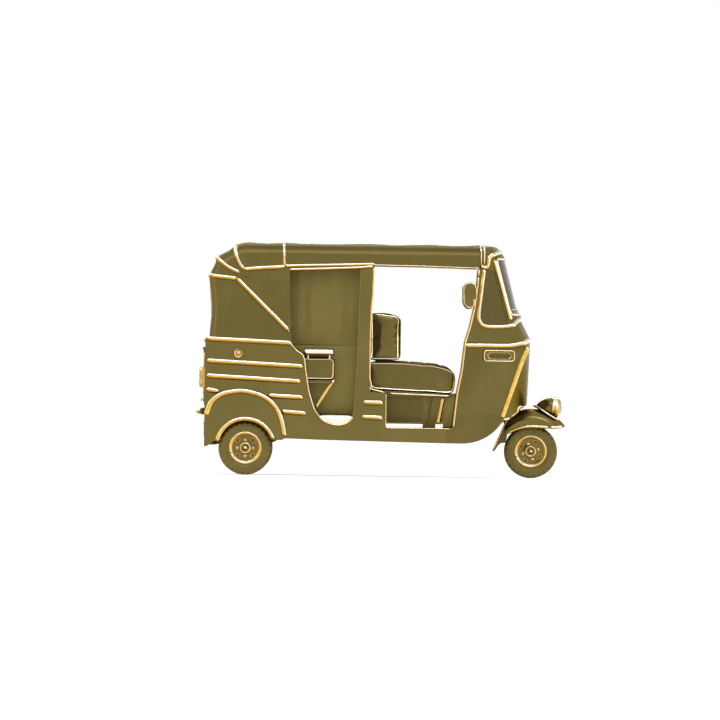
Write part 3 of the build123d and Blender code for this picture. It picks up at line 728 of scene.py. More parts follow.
def edgeDoorways():
    parts = {"bead": [], "cast": []}
    skin = skinOf("body_side_right", "rear_quarter_right", "cowl_right", "windscreen_frame", "hood_canopy")
    for name, (points, width, height, look) in doorEdges.items():
        line = []
        for p in evenly(sideView(points), 0.014, curved=name == "passenger"):
            place = skin.find_nearest(Vector((p.x, sideY, p.z)))[0]
            line.append(Vector((p.x, place.y, p.z)))
        parts[look] += bothSides(ridge(line, toRight, width, height))
    addPiece("doorwayEdges", parts["bead"], "bead")
    addPiece("doorwaySeams", parts["cast"], "cast")


# Mouldings on the cab, which follow its skin round the front
cabSkin = skinOf("nose_panel", "cowl_right", "cowl_left", "windscreen_frame", "belly_pan",
                 "windscreen_glass")
cabLines = {
    # places seen from the side, then from the front, width and height
    "belt": ([(596, 940), (760, 940), (914, 942), (985, 955)], [(455, 966), (300, 976), (0, 984)],
             0.034, 0.010),
    "window": ([(724, 1484), (706, 1330), (688, 1160), (700, 1105), (740, 1077), (830, 1074), (905, 1080)],
               [(470, 1097), (300, 1120), (0, 1132)], 0.030, 0.009),
    "visor": ([(664, 1497), (690, 1508), (716, 1497), (742, 1494), (752, 1522), (756, 1556), (772, 1580)],
              [(430, 1592), (250, 1604), (0, 1609)], 0.030, 0.012),
    "noseFoot": ([], [(452, 416), (380, 428), (322, 444), (307, 462), (304, 488), (290, 503), (150, 508),
                      (0, 510)], 0.024, 0.010),
}
cabCorners = {
    # places and width of the beads on the upright corner between the cab's side and its front
    "crease": ([(0.864, -0.456, 0.424), (0.874, -0.458, 0.452), (0.905, -0.462, 0.545),
                (0.946, -0.468, 0.665), (0.974, -0.473, 0.752), (1.006, -0.479, 0.845),
                (1.046, -0.486, 0.930)], 0.034),
    "pillar": ([(0.919, -0.504, 1.120), (0.870, -0.508, 1.290), (0.830, -0.512, 1.430),
                (0.793, -0.518, 1.552)], 0.030),
    "height": 0.012, "facing": (0.55, -1, 0),
}


def wrapCab(side, front, width, height):
    line, normals = press(cabSkin, evenly(sideView(side), 0.014) if side else [], toLeft)
    half = evenly([(0, -y / 1000, z / 1000) for y, z in front], 0.014)
    frontLine, frontNormals = press(cabSkin, half, toBack)
    if line:
        # round the upright corner, with a heading that turns from the side to the front
        sideEnd = line[-1]
        for share in (k / 6 for k in range(1, 6)):
            heading = Vector(toLeft).lerp(Vector(toBack), share).normalized()
            start = sideEnd.lerp(frontLine[0], share) - heading * 0.4
            place, normal, _, _ = cabSkin.ray_cast(start, heading)
            if place:
                line.append(place)
                normals.append(against(normal, heading))
    line = carriedOver(line + frontLine)
    normals = carriedOver(normals + frontNormals)
    steps = evenly(line)
    nearest = [min(range(len(line)), key=lambda i: (line[i] - p).length_squared) for p in steps]
    return ridge(steps, softened([normals[k] for k in nearest], 4), width, height, sink=0.006)


def trimCab():
    parts = [wrapCab(*way) for way in cabLines.values()]
    facing = Vector(cabCorners["facing"]).normalized()
    for places, width in (cabCorners["crease"], cabCorners["pillar"]):
        parts += bothSides(bead(places, facing, width, cabCorners["height"], sink=0.008))
    addPiece("cabMouldings", parts, "bead")


pressRibs()
pressFenderRims()
makeFillerCap()
edgeDoorways()
trimCab()
print("mouldings on body and cab")


# Hood: one continuous canvas sheet over the bows, its seams, hems, back window and stays
hood = {
    "tail": [(-1229, 950), (-1219, 1080), (-1212, 1166), (-1218, 1270), (-1230, 1371), (-1230, 1416),
             (-1190, 1505), (-1176, 1553), (-1094, 1602), (-1046, 1636), (-980, 1654), (-860, 1655)],
    "roof": [(-600, 1655), (-100, 1655), (300, 1655), (691, 1655)], "step": 0.0155,
    "half": 0.617, "frontHalf": 0.574, "taperFrom": -0.05, "taperTo": 0.6855,
    "rearEdge": [(-655, 931), (-655, 1466)],
    "valance": [(-655, 1466), (-400, 1477), (-150, 1490), (-60, 1497), (120, 1500), (400, 1494), (691, 1488)],
    "topCorner": (0.080, 0.078, 0.017), "backCorner": (0.050, 0.050, 0.008),
    "bows": [-0.965, -0.690, -0.102, 0.330, 0.690], "sag": 0.006, "loose": 0.0012,
    "sideSteps": 24, "cornerSteps": 8, "topSteps": 15,
}
backWindow = {
    "half": 0.31, "low": 1.150, "high": 1.335, "corner": 0.045, "lap": 0.01, "bead": (0.030, 0.004),
    "rows": 8, "columns": 16, "behind": 0.002, "bulge": 0.004,
}
hoodLine = evenly(sideView(hood["tail"] + hood["roof"]), hood["step"])
hoodTurn = next(k for k, p in enumerate(hoodLine) if p.x > -1.0 and p.z > 1.6)


def readAt(table, x):
    for (x0, z0), (x1, z1) in zip(table, table[1:]):
        if x <= x1:
            return z0 + (z1 - z0) * max(0.0, (x - x0) / (x1 - x0))
    return table[-1][1]


def within(value, low, high):
    return min(1.0, max(0.0, (value - low) / (high - low)))


def easeIn(value, low, high):
    t = within(value, low, high)
    return t * t * (3 - 2 * t)


def hoodHalf(x):
    return hood["half"] + (hood["frontHalf"] - hood["half"]) * within(x, hood["taperFrom"], hood["taperTo"])


def hoodFrameAt(i):
    # outward direction in the side view, and the corner's width, depth and crown there
    ahead = (hoodLine[min(i + 2, len(hoodLine) - 1)] - hoodLine[max(i - 2, 0)]).normalized()
    outward = Vector((-ahead.z, 0, ahead.x))
    top = easeIn(outward.z, 0.35, 0.95)
    return outward, [b + (t - b) * top for t, b in zip(hood["topCorner"], hood["backCorner"])], top


def hoodHips():
    # where the flat sides begin, eased so that the rows never cross at the outline's corners
    eased = []
    for i, place in enumerate(hoodLine):
        outward, (_, deep, crown), _ = hoodFrameAt(i)
        eased.append(place - outward * (deep + crown))
    for _ in range(6):
        middle = [(eased[i - 1] + eased[i] + eased[i + 1]) / 3 for i in range(1, len(eased) - 1)]
        eased = [eased[0]] + middle + [eased[-1]]
    return eased


hips = hoodHips()


def lowerEdgeAt(i):
    # where row i ends: on the rear corner's edge at first, then along the valance
    (x, low), (_, high) = hood["rearEdge"]
    if i <= hoodTurn:
        return Vector((x / 1000, 0, (low + (high - low) * (i / hoodTurn)) / 1000))
    x += (hood["roof"][-1][0] - x) * ((i - hoodTurn) / (len(hoodLine) - 1 - hoodTurn))
    return Vector((x / 1000, 0, readAt(hood["valance"], x) / 1000))


def hoodRow(i):
    # half of one row, from its lower or front edge up to the centreline
    place, hip, target = hoodLine[i], hips[i], lowerEdgeAt(i)
    _, (wide, deep, crown), top = hoodFrameAt(i)
    inward = hip - place
    turn = math.pi / 2 * easeIn(i / hoodTurn, 0.75, 1.25)
    arriving = Vector((math.cos(turn), 0, -math.sin(turn)))
    reach = (target - hip).length / 3
    leave, arrive = hip + inward.normalized() * reach, target - arriving * reach
    row = []
    for k in range(hood["sideSteps"]):
        t = 1 - k / hood["sideSteps"]
        p = (hip * (1 - t) ** 3 + leave * 3 * t * (1 - t) ** 2 + arrive * 3 * t * t * (1 - t)
             + target * t ** 3)
        loose = math.sin(math.pi * t) * hood["loose"]
        ripple = noise.noise(Vector((p.x * 5.0, 3.1, p.z * 4.0))) * loose * 2
        row.append(Vector((p.x, -(hoodHalf(p.x) + ripple), p.z)))
    half = hoodHalf(hip.x)
    for k in range(hood["cornerSteps"]):
        angle = math.pi / 2 * (1 - k / hood["cornerSteps"])
        depth = crown + deep * (1 - math.cos(angle))
        p = place + inward * (depth / (crown + deep))
        row.append(Vector((p.x, -(half - wide + wide * math.sin(angle)), p.z)))
    shoulder = half - wide
    for k in range(hood["topSteps"] + 1):
        y = shoulder * (1 - k / hood["topSteps"])
        depth = crown * (y / shoulder) ** 2
        if top > 0.5:
            near = sorted(hood["bows"], key=lambda b: abs(b - place.x))[:2]
            between = min(1.0, abs(place.x - near[0]) / max(0.001, abs(near[1] - near[0])) * 2)
            depth += hood["sag"] * easeIn(between, 0.0, 1.0) * (1 - (y / shoulder) ** 2)
        p = place + inward * (depth / (crown + deep))
        row.append(Vector((p.x, -y, p.z)))
    return row


def makeHood():
    verts, faces = bridge([carriedOver(hoodRow(i)) for i in range(len(hoodLine))], loop=False)
    kept = []
    for face in faces:
        centre = sum((verts[k] for k in face), Vector()) / 4
        glazed = abs(centre.y) < backWindow["half"] and backWindow["low"] < centre.z < backWindow["high"]
        if centre.x >= -1.15 or not glazed:
            kept.append(face)
    return addPiece("hoodCanvas", [(verts, kept)], "canvas", crease=60)


def sideSeam(points, width, height, lift=0.0):
    # a seam that stays on the hood's two flat sides
    line = [Vector((p.x, -(hoodHalf(p.x) + lift), p.z)) for p in evenly(sideView(points))]
    return bothSides(ridge(line, toRight, width, height))


def hoopSeam(points, width, height):
    # a seam from one side over the hood to the other; the points start at its outline
    step, cornerSteps, topSteps = 0.012, 8, 35
    curve = evenly(sideView(points), 0.004)
    i = min(range(len(hoodLine)), key=lambda k: (hoodLine[k] - curve[0]).length)
    outward, (wide, deep, crown), _ = hoodFrameAt(i)
    far = distances(curve)

    def at(d):
        return curve[min(range(len(far)), key=lambda n: abs(far[n] - d))]
    line, normals = [], []
    for k in range(max(0, int((far[-1] - crown - deep) / step))):
        p = at(far[-1] - step * k)
        line.append(Vector((p.x, -hoodHalf(p.x), p.z)))
        normals.append(Vector(toRight))
    half = hoodHalf(at(deep + crown).x)
    for k in range(cornerSteps + 1):
        angle = math.pi / 2 * (1 - k / cornerSteps)
        p = at(crown + deep * (1 - math.cos(angle)))
        line.append(Vector((p.x, -(half - wide + wide * math.sin(angle)), p.z)))
        normals.append((outward * math.cos(angle) + Vector(toRight) * math.sin(angle)).normalized())
    shoulder = half - wide
    for k in range(1, topSteps + 1):
        y = shoulder * (1 - k / topSteps)
        p = curve[0] - outward * (crown * (y / shoulder) ** 2)
        line.append(Vector((p.x, -y, p.z)))
        normals.append(outward.copy())
    return ridge(carriedOver(line), carriedOver(normals), width, height, sink=0.008)


seams = {
    # places, width and height of each
    "hoops": [([(-1230, 1411), (-1130, 1402), (-1031, 1392)], 0.034, 0.011),
              ([(-1182, 1543), (-1110, 1482), (-1050, 1450), (-1013, 1438)], 0.032, 0.011),
              ([(-1046, 1636), (-1040, 1560), (-1010, 1490), (-979, 1460)], 0.030, 0.010),
              ([(-700, 1655), (-699, 1600), (-698, 1484)], 0.018, 0.006)],
    "sides": [([(-985, 1458), (-850, 1470), (-715, 1479), (-694, 1494)], 0.032, 0.011),
              ([(-698, 1492), (-690, 1496), (-672, 1484), (-645, 1488), (-300, 1499), (-53, 1508)],
               0.024, 0.010),
              ([(-662, 1461), (-400, 1471), (-150, 1483), (-64, 1493)], 0.022, 0.009),
              ([(-64, 1502), (300, 1498), (688, 1489)], 0.010, 0.006)],
    "centre": ([(-1.045, 0, 3), (0.694, 0, 3)], 0.018, 0.005),
    "stay": ([(-1034, 1394), (-658, 1026)], 0.036, 0.014),
    "knob": [(0.0, -0.637), (0.006, -0.636), (0.010, -0.631), (0.010, -0.617)],
}


def makeSeams():
    parts = [hoopSeam(*seam) for seam in seams["hoops"]]
    for seam in seams["sides"]:
        parts += sideSeam(*seam)
    cloth = treeOf([bpy.data.objects["hoodCanvas"]])
    points, width, height = seams["centre"]
    parts.append(pressed(cloth, points, (0, 0, -1), width, height, 0.015))
    return addPiece("hoodSeams", parts, "bead")


def makeStays():
    parts = sideSeam(*seams["stay"], lift=0.001)
    for x, z in seams["stay"][0]:
        parts += bothSides(turned(seams["knob"], 20, "Y", (x / 1000, 0, z / 1000)))
    piece = addPiece("hoodStayBars", parts, "bead")
    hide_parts("hood_stays")


def makeBackWindow():
    wide, low, high, lap, rows = (backWindow[k] for k in ("half", "low", "high", "lap", "rows"))
    across = [2 * c / backWindow["columns"] - 1 for c in range(backWindow["columns"] + 1)]
    flat = hood["half"] - hood["backCorner"][0]

    def backX(y, z):
        near = min(hoodLine, key=lambda p: abs(p.z - z) + (1 if p.x > -1.1 else 0))
        return near.x + hood["backCorner"][2] * (y / flat) ** 2
    grid = []
    for r in range(rows + 1):
        z = low - lap + (high - low + 2 * lap) * r / rows
        bulge = backWindow["bulge"] * math.sin(math.pi * r / rows)
        grid.append([Vector((backX(y, z) + backWindow["behind"] - bulge, y, z))
                     for y in ((wide + lap) * share for share in across)])
    pane = addPiece("hoodWindow", [bridge(grid, loop=False)], "glass")
    outline = roundedBox(0, (low + high) / 2, wide, (high - low) / 2, backWindow["corner"], 6)
    rim = bead([(backX(y, z) - 0.001, y, z) for y, z in outline], toBack, *backWindow["bead"], closed=True)
    return [pane, addPiece("hoodWindowRim", [rim], "bead")]


canvas = makeHood()
seamPiece = makeSeams()
makeStays()
windowPieces = makeBackWindow()
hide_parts("hood_canopy")


# Side curtain that closes the left passenger doorway
curtain = {
    "rear": -0.665, "front": -0.152, "low": 0.920, "high": 1.500, "y": 0.607, "rows": 40, "columns": 52,
    "folds": 5, "foldDepth": 0.0004, "rippleDepth": 0.0006, "bead": (0.018, 0.005),
    "hem": [(-0.655, 0.930), (-0.655, 1.470), (-0.160, 1.492), (-0.163, 0.930)],
}


def makeCurtain():
    rear, front, low, high = (curtain[k] for k in ("rear", "front", "low", "high"))
    rows = []
    for r in range(curtain["rows"] + 1):
        t = r / curtain["rows"]
        z = low + (high - low) * t
        row = []
        for c in range(curtain["columns"] + 1):
            s = c / curtain["columns"]
            x = rear + (front - rear) * s
            slack = math.sin(math.pi * s) * (0.35 + 0.65 * math.sin(math.pi * t))
            bend = 2 * math.pi * curtain["folds"] * s + 0.8 * math.sin(3 * t)
            wave = math.sin(bend) * curtain["foldDepth"]
            wave += noise.noise(Vector((x * 7, 1.7, z * 3))) * curtain["rippleDepth"]
            row.append(Vector((x, curtain["y"] + wave * slack, z)))
        rows.append(row)
    sheet = addPiece("sideCurtainCanvas", [bridge(rows, loop=False)], "curtain")
    edge = bead(standing(curtain["hem"], curtain["y"] + 0.002), toLeft, *curtain["bead"], 0.02, closed=True)
    hem = addPiece("sideCurtainHem", [edge], "curtain")
    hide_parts("side_curtain")


makeCurtain()
print("hood and curtain hung")


# Cushions: blown up by the cloth solver from a slightly smaller block, then channelled and piped
cushions = {
    "passengerCushion": {
        "node": "passenger_cushion", "slack": 0.010, "fill": 0.75, "cap": 0.014,
        "voxel": 0.015, "soften": 0.011,
        "shape": [(-1.128, 0.680), (-0.324, 0.680), (-0.324, 0.834), (-0.345, 0.839), (-1.128, 0.836)],
        "channels": ("top", [-0.95, -0.80, -0.65, -0.50]), "depth": 0.006, "half": 0.566,
    },
    "passengerBackrest": {
        "node": "passenger_backrest", "slack": 0.010, "fill": 0.7, "cap": 0.016,
        "voxel": 0.015, "soften": 0.013,
        "shape": [(-1.010, 0.846), (-1.122, 0.846), (-1.158, 1.334), (-1.066, 1.334)],
        "channels": ("across", [-0.45, -0.30, -0.15, 0.0, 0.15, 0.30, 0.45]), "depth": 0.008, "half": 0.566,
    },
    "driverCushion": {
        "node": "driver_cushion", "slack": 0.008, "fill": 0.75, "cap": 0.014, "voxel": 0.012, "soften": 0.010,
        "shape": [(-0.094, 0.812), (-0.097, 0.700), (-0.090, 0.648), (-0.060, 0.622), (0.0, 0.614),
                  (0.250, 0.604), (0.500, 0.593), (0.530, 0.606), (0.541, 0.660), (0.542, 0.718),
                  (0.525, 0.748), (0.470, 0.776), (0.380, 0.796), (0.250, 0.806), (0.134, 0.812)],
        "channels": ("top", [0.20, 0.31, 0.42]), "depth": 0.005, "half": 0.374,
    },
    "driverBackrest": {
        "node": "driver_backrest", "slack": 0.008, "fill": 0.7, "cap": 0.014, "voxel": 0.011, "soften": 0.010,
        "shape": [(-0.080, 0.824), (0.129, 0.824), (0.132, 0.980), (0.130, 1.110), (0.116, 1.142),
                  (0.090, 1.152), (-0.010, 1.162), (-0.083, 1.164)],
        "channels": ("across", [-0.24, -0.12, 0.0, 0.12, 0.24]), "depth": 0.006, "half": 0.364,
    },
}
stuffing = {
    "pressure": 4.0, "mass": 0.3, "quality": 4, "frames": 20, "channelHalf": 0.009, "proud": 0.010,
    "piping": 0.0055,
}


def scratchObject(part):
    made = bpy.data.meshes.new("scratch")
    made.from_pydata([tuple(v) for v in part[0]], [], part[1])
    return placeNew("scratch", made)


def readOff(o):
    # the object's finished mesh as a part; the object itself isn't needed any more
    seen = o.evaluated_get(bpy.context.evaluated_depsgraph_get())
    read = seen.to_mesh()
    part = [v.co.copy() for v in read.vertices], [tuple(p.vertices) for p in read.polygons]
    seen.to_mesh_clear()
    bpy.data.objects.remove(o)
    return part


def inflate(part, most):
    o = scratchObject(part)
    cloth = o.modifiers.new("cloth", "CLOTH")
    cloth.settings.use_pressure = True
    cloth.settings.uniform_pressure_force = stuffing["pressure"]
    cloth.settings.effector_weights.gravity = 0
    cloth.settings.quality = stuffing["quality"]
    cloth.settings.mass = stuffing["mass"]
    cloth.point_cache.frame_start = 1
    cloth.point_cache.frame_end = stuffing["frames"]
    for step in range(1, stuffing["frames"] + 1):
        bpy.context.scene.frame_set(step)
    swollen, _ = readOff(o)
    bpy.context.scene.frame_set(1)
    for i, (start, end) in enumerate(zip(part[0], swollen)):
        shift = end - start
        if shift.length > most:
            shift *= most / shift.length
        part[0][i] = start + shift


def blowUp(part, plan):
    o = scratchObject(part)
    remesh = o.modifiers.new("remesh", "REMESH")
    remesh.mode = "VOXEL"
    remesh.voxel_size = plan["voxel"]
    part = readOff(o)
    inflate(part, plan["cap"])
    low, high = (Vector(c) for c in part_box(plan["node"]))
    for v in part[0]:
        v.z = max(v.z, low.z + 0.0005)
        for k in range(3):
            v[k] = min(max(v[k], low[k]), high[k] + (stuffing["proud"] if k == 2 else 0.0))
    o = scratchObject(part)
    o.modifiers.new("smooth", "SUBSURF").levels = 1
    return readOff(o)


def stitch(part, plan):
    # sewn channels press the cover in along lines
    side, places = plan["channels"]
    verts, faces = part
    seatTop = max(z for _, z in plan["shape"])
    middle = sum(x for x, _ in plan["shape"]) / len(plan["shape"])
    for v in verts:
        for place in places:
            off = (v.x if side == "top" else v.y) - place
            dip = plan["depth"] * math.exp(-(off / stuffing["channelHalf"]) ** 2)
            if dip < 0.0002:
                continue
            if side == "top":
                v.z -= dip * easeIn(v.z, seatTop - 0.05, seatTop - 0.01)
            else:
                v.x -= dip * math.copysign(easeIn(abs(v.x - middle), 0.01, 0.04), v.x - middle)
    return verts, faces


def pipeRound(name, piece, plan):
    # piping along both end seams, laid on the stuffed cover
    skin = treeOf([piece])
    shape = plan["shape"]
    centre = Vector((sum(x for x, _ in shape), 0, sum(z for _, z in shape))) / len(shape)
    outline = evenly(standing(shape, -plan["half"]), closed=True, curved=False)
    line = []
    for i in range(len(outline)):
        p = sum((outline[(i + k) % len(outline)] for k in range(-2, 3)), Vector()) / 5
        inward = Vector((centre.x - p.x, 0, centre.z - p.z)).normalized()
        line.append(skin.find_nearest(p + inward * 0.004)[0])
    for _ in range(2):
        line = [(line[i - 1] + line[i] + line[(i + 1) % len(line)]) / 3 for i in range(len(line))]
    return addPiece(name + "Piping", bothSides(tube(line, stuffing["piping"], 8, closed=True)), "bead")


def makeCushions():
    for name, plan in cushions.items():
        reach = plan["half"] - plan["slack"]
        shrunk = plate(plan["shape"], -reach, reach, edge=plan["soften"])
        part = stitch(blowUp(shrunk, plan), plan)
        piece = addPiece(name, [part], "vinyl", crease=80)
        piping = pipeRound(name, piece, plan)
        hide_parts(plan["node"])
        print("stuffed", name, len(part[1]), "faces")


makeCushions()


# Wheels: treaded tyre, pressed disc with rings, lugs and nuts, brake drum behind
wheels = {
    "frontWheel": {"body": "front_wheel", "tyre": "front_tyre", "rim": "front_rim",
                   "turn": 62, "centre": (1.075, 0.0, 0.190)},
    "rearWheelRight": {"body": "rear_wheel_right", "tyre": "rear_tyre_right", "rim": "rear_rim_right",
                       "turn": 45, "centre": (-0.957, -0.575, 0.190)},
    "rearWheelLeft": {"body": "rear_wheel_left", "tyre": "rear_tyre_left", "rim": "rear_rim_left",
                      "turn": 45, "centre": (-0.957, 0.575, 0.190)},
}
tyre = {
    "half": [(0.1175, 0.040), (0.1185, 0.0445), (0.1215, 0.0465), (0.1270, 0.0462), (0.1300, 0.0480),
             (0.1400, 0.0502), (0.1480, 0.0508), (0.1560, 0.0507), (0.1600, 0.0496), (0.1640, 0.0500),
             (0.1700, 0.0492), (0.1760, 0.0474), (0.1815, 0.0445), (0.1858, 0.0400), (0.1880, 0.0350),
             (0.1890, 0.0280), (0.1893, 0.0235), (0.1850, 0.0222), (0.1850, 0.0188), (0.1896, 0.0175),
             (0.1899, 0.0060), (0.1855, 0.0045)],
    "blocks": 28, "steps": 10, "skew": 6.0, "pinch": 0.06, "grooveDepth": 0.0055,
    # where a block rises and falls round the tyre, and where the grooves start outward and across
    "rise": (0.0, 0.10), "fall": (0.66, 0.78), "grooveFrom": (0.168, 0.174), "grooveSide": (0.016, 0.022),
    "wallRings": [0.138, 0.158], "wallFace": 0.0500, "wallBead": (0.004, 0.0015),
}
disc = {
    "face": [(0.0, 0.034), (0.014, 0.034), (0.017, 0.031), (0.019, 0.027), (0.034, 0.026), (0.046, 0.024),
             (0.058, 0.018), (0.070, 0.016), (0.086, 0.017), (0.096, 0.023), (0.101, 0.028), (0.105, 0.030),
             (0.109, 0.040), (0.116, 0.0425), (0.1195, 0.0420), (0.1200, 0.037), (0.1150, 0.030),
             (0.1020, 0.010)],
    "dome": [(0.0, 0.045), (0.006, 0.0445), (0.011, 0.042), (0.015, 0.037), (0.018, 0.030), (0.018, 0.026)],
    "drum": [(0.0, -0.012), (0.094, -0.012), (0.100, -0.006), (0.100, 0.006), (0.094, 0.012), (0.0, 0.012)],
    # radius, distance out, width and height of each ring
    "rings": [(0.108, 0.0395, 0.020, 0.0055), (0.098, 0.0250, 0.011, 0.005), (0.034, 0.0255, 0.013, 0.006)],
    "lug": 0.075, "lugFace": 0.0165, "lugSwing": 0.26, "lugHalf": 0.0125, "lugBead": (0.008, 0.006),
    "nut": 0.055, "nutFace": 0.019,
    "valve": [(0.112, -0.040, 0), (0.107, -0.050, 0), (0.103, -0.058, 0)],
}


def ringAt(radius, y, wide, tall, centre, side):
    # raised bead around the axle on one face of the wheel
    line = [aroundAxle(radius, a, side * y) for a in circle(72)]
    return moved(ridge(line, (0, side, 0), wide, tall, closed=True, steps=6), centre)


def makeTyre(name, plan):
    profile = [(r, -y) for r, y in tyre["half"]] + [(r, y) for r, y in reversed(tyre["half"])]
    rings = []
    for k, angle in enumerate(circle(tyre["blocks"] * tyre["steps"])):
        ring = []
        for r, y in profile:
            share = (k / tyre["steps"] + (0.5 if y > 0 else 0.0) + abs(y) * tyre["skew"]) % 1.0
            cut = easeIn(share, *tyre["rise"]) - easeIn(share, *tyre["fall"])
            reach = easeIn(r, *tyre["grooveFrom"]) * easeIn(abs(y), *tyre["grooveSide"])
            low = tyre["grooveDepth"] * (1 - cut) * reach
            ring.append(aroundAxle(r - low, angle, y * (1 - tyre["pinch"] * (1 - cut) * reach)))
        rings.append(ring)
    parts = [moved(bridge(rings, closed=True, loop=False), plan["centre"])]
    for side in (-1, 1):
        for radius in tyre["wallRings"]:
            parts.append(ringAt(radius, tyre["wallFace"], *tyre["wallBead"], plan["centre"], side))
    piece = addPiece(name + "Tyre", parts, "tyre", plan["body"], crease=35)
    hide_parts(plan["tyre"])


def hexNut(centre, side, radius=0.0085, tall=0.009, turn=None):
    sixths = [math.radians(60 * k) for k in range(6)]
    nut = plate([(radius * math.cos(a), radius * math.sin(a)) for a in sixths], 0.0, side * tall, 0.0012)
    washer = turned([(0.0, side * 0.002), (0.011, side * 0.002), (0.012, 0.0)], 20)
    end = turned([(0.0, side * (tall + 0.005)), (0.004, side * (tall + 0.005)),
                  (0.0046, side * (tall + 0.003)), (0.0046, 0.0)], 16)
    return [moved(p, centre, turn) for p in (nut, washer, end)]


def lugAt(centre, angle, side):
    # raised kidney-shaped rim around one slot of the disc, and the floor of the slot, laid in a darker finish
    # as painted shade
    mid, y = disc["lug"], disc["lugFace"]
    angle = math.radians(angle)
    loop = []
    for a in circle(28):
        swing = angle + disc["lugSwing"] * math.cos(a)
        loop.append(aroundAxle(mid + disc["lugHalf"] * math.sin(a), swing, side * y))
    rim = ridge(loop, (0, side, 0), *disc["lugBead"], closed=True, steps=5)
    dish = []
    for r in (0.0, 0.5, 1.0):
        inner = [aroundAxle(mid, angle).lerp(Vector((p.x, 0, p.z)), r) for p in loop]
        dish.append([Vector((c.x, side * (y + 0.001 + 0.0015 * r), c.z)) for c in inner])
    return moved(rim, centre), moved(bridge(dish), centre)


def makeRim(name, plan):
    face, trim, dark, nuts = [], [], [], []
    centre = plan["centre"]
    for side in (-1, 1):
        face.append(moved(turned([(r, side * y) for r, y in disc["face"]], 96), centre))
        trim += [ringAt(*ring, centre, side) for ring in disc["rings"]]
        trim.append(moved(turned([(r, side * y) for r, y in disc["dome"]], 32), centre))
        for k in range(4):
            rim, dish = lugAt(centre, plan["turn"] + 90 * k, side)
            trim.append(rim)
            dark.append(dish)
            a = math.radians(plan["turn"] + 45 + 90 * k)
            nuts += hexNut((centre[0] + disc["nut"] * math.cos(a), centre[1] + side * disc["nutFace"],
                            centre[2] + disc["nut"] * math.sin(a)), side)
    face.append(moved(turned(disc["drum"], 64), centre))
    piece = addPiece(name + "Disc", face, "body", plan["body"], crease=30)
    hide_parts(plan["rim"])
    addPiece(name + "Rings", trim, "bead", plan["body"])
    # the slot floors take the darker rubber finish: painted shade in the slots
    addPiece(name + "Slots", dark, "rubber", plan["body"])
    addPiece(name + "Nuts", nuts, "satin", plan["body"], crease=25)
    valve = tube(disc["valve"], [0.004, 0.003, 0.0035], 10)
    addPiece(name + "Valve", [moved(valve, centre, spin(-200, "Y"))], "rubber", plan["body"])


for wheelName, wheelPlan in wheels.items():
    makeTyre(wheelName, wheelPlan)
    makeRim(wheelName, wheelPlan)
print("wheels made")


# Polished places where feet and hands rub: doorway foot, driver's step, grab rails
polished = {
    "doorway": [(-434, 424), (-413, 398), (-385, 381), (-340, 366), (-299, 362), (-250, 371), (-218, 393),
                (-204, 418), (-199, 432)],
    "driverSteps": [[(44, 351), (60, 347), (170, 346), (285, 347), (300, 352)],
                    [(392, 351), (400, 347), (420, 346), (438, 347), (444, 352)]],
    "doorwayTop": 0.441, "stepTop": 0.390, "outer": 0.604, "lean": 0.040, "floor": 0.3455,
    "rail": ((-0.550, -0.574, 0.857), (-0.336, -0.512, 0.900), 0.019),
    "railFeet": [(-0.520, -0.544, 0), (-0.366, -0.544, 0)],
    "railFoot": [(0.0, 0.870), (0.007, 0.870), (0.007, 0.838), (0.012, 0.836), (0.013, 0.832)],
}


def footPlate(points, top):
    # a rounded kick plate that leans in from the sill and drops to the floor behind
    outer, lean = -polished["outer"], polished["lean"]
    inner = outer + lean + 0.012
    rows = []
    for p in evenly(sideView(points, outer)):
        row = []
        for turn in (k / 8 * math.pi / 2 for k in range(9)):
            y = outer + lean * (1 - math.cos(turn))
            row.append(Vector((p.x, y, p.z + (top - p.z) * math.sin(turn))))
        row += [Vector((p.x, inner, top - 0.003)), Vector((p.x, inner + 0.003, top - 0.012)),
                Vector((p.x, inner + 0.003, polished["floor"]))]
        rows.append(row)
    return bridge(rows, loop=False)


def makePolishedPlaces():
    steps = [footPlate(points, polished["stepTop"]) for points in polished["driverSteps"]]
    addPiece("footPlates", [footPlate(polished["doorway"], polished["doorwayTop"])] + steps, "plate")
    rails = bothSides(softBox(*polished["rail"], steps=4))
    for place in polished["railFeet"]:
        rails += bothSides(turned(polished["railFoot"], 16, "Z", place))
    addPiece("grabRails", rails, "plate")


# Trim inside the passenger space, and beads on the seat frames
inside = {
    "lining": [(-0.556, 0.860), (-0.640, 0.928), (-0.152, 0.928), (-0.152, 0.350), (-0.515, 0.350),
               (-0.515, 0.640)],
    "liningY": (0.576, 0.5795), "brace": [(-465, 478), (-332, 684)], "braceBead": (0.026, 0.010),
    "legLines": [([(370, 562), (334, 364)], 0.011), ([(446, 564), (407, 360)], 0.030),
                 ([(56, 590), (512, 576)], 0.016)], "legHeight": 0.006,
    "footLining": [(0.055, 0.352), (0.055, 0.596), (0.540, 0.596), (0.510, 0.352)],
    "footLiningY": (0.546, 0.549),
}


def makeLining():
    # a paler inner panel behind the passenger doorway: painted light where the doorway is in shade
    panel = plate(inside["lining"], *inside["liningY"], edge=0.001)
    addPiece("doorLining", [panel], "lining", crease=12)
    # a paler panel in the driver's footwell: painted light where the footwell is in shade
    panel = plate(inside["footLining"], *inside["footLiningY"], edge=0.001)
    addPiece("footwellLining", [panel], "footwell", crease=12)


def makeSeatBeads():
    parts = bothSides(bead(sideView(inside["brace"], -0.5605), toRight, *inside["braceBead"], sink=0.002))
    skin = skinOf("driver_seat_frame")
    for points, width in inside["legLines"]:
        line = sideView(points, -0.6)
        parts += bothSides(pressed(skin, line, toLeft, width, inside["legHeight"], sink=0.002))
    addPiece("seatFrameBeads", parts, "bead")


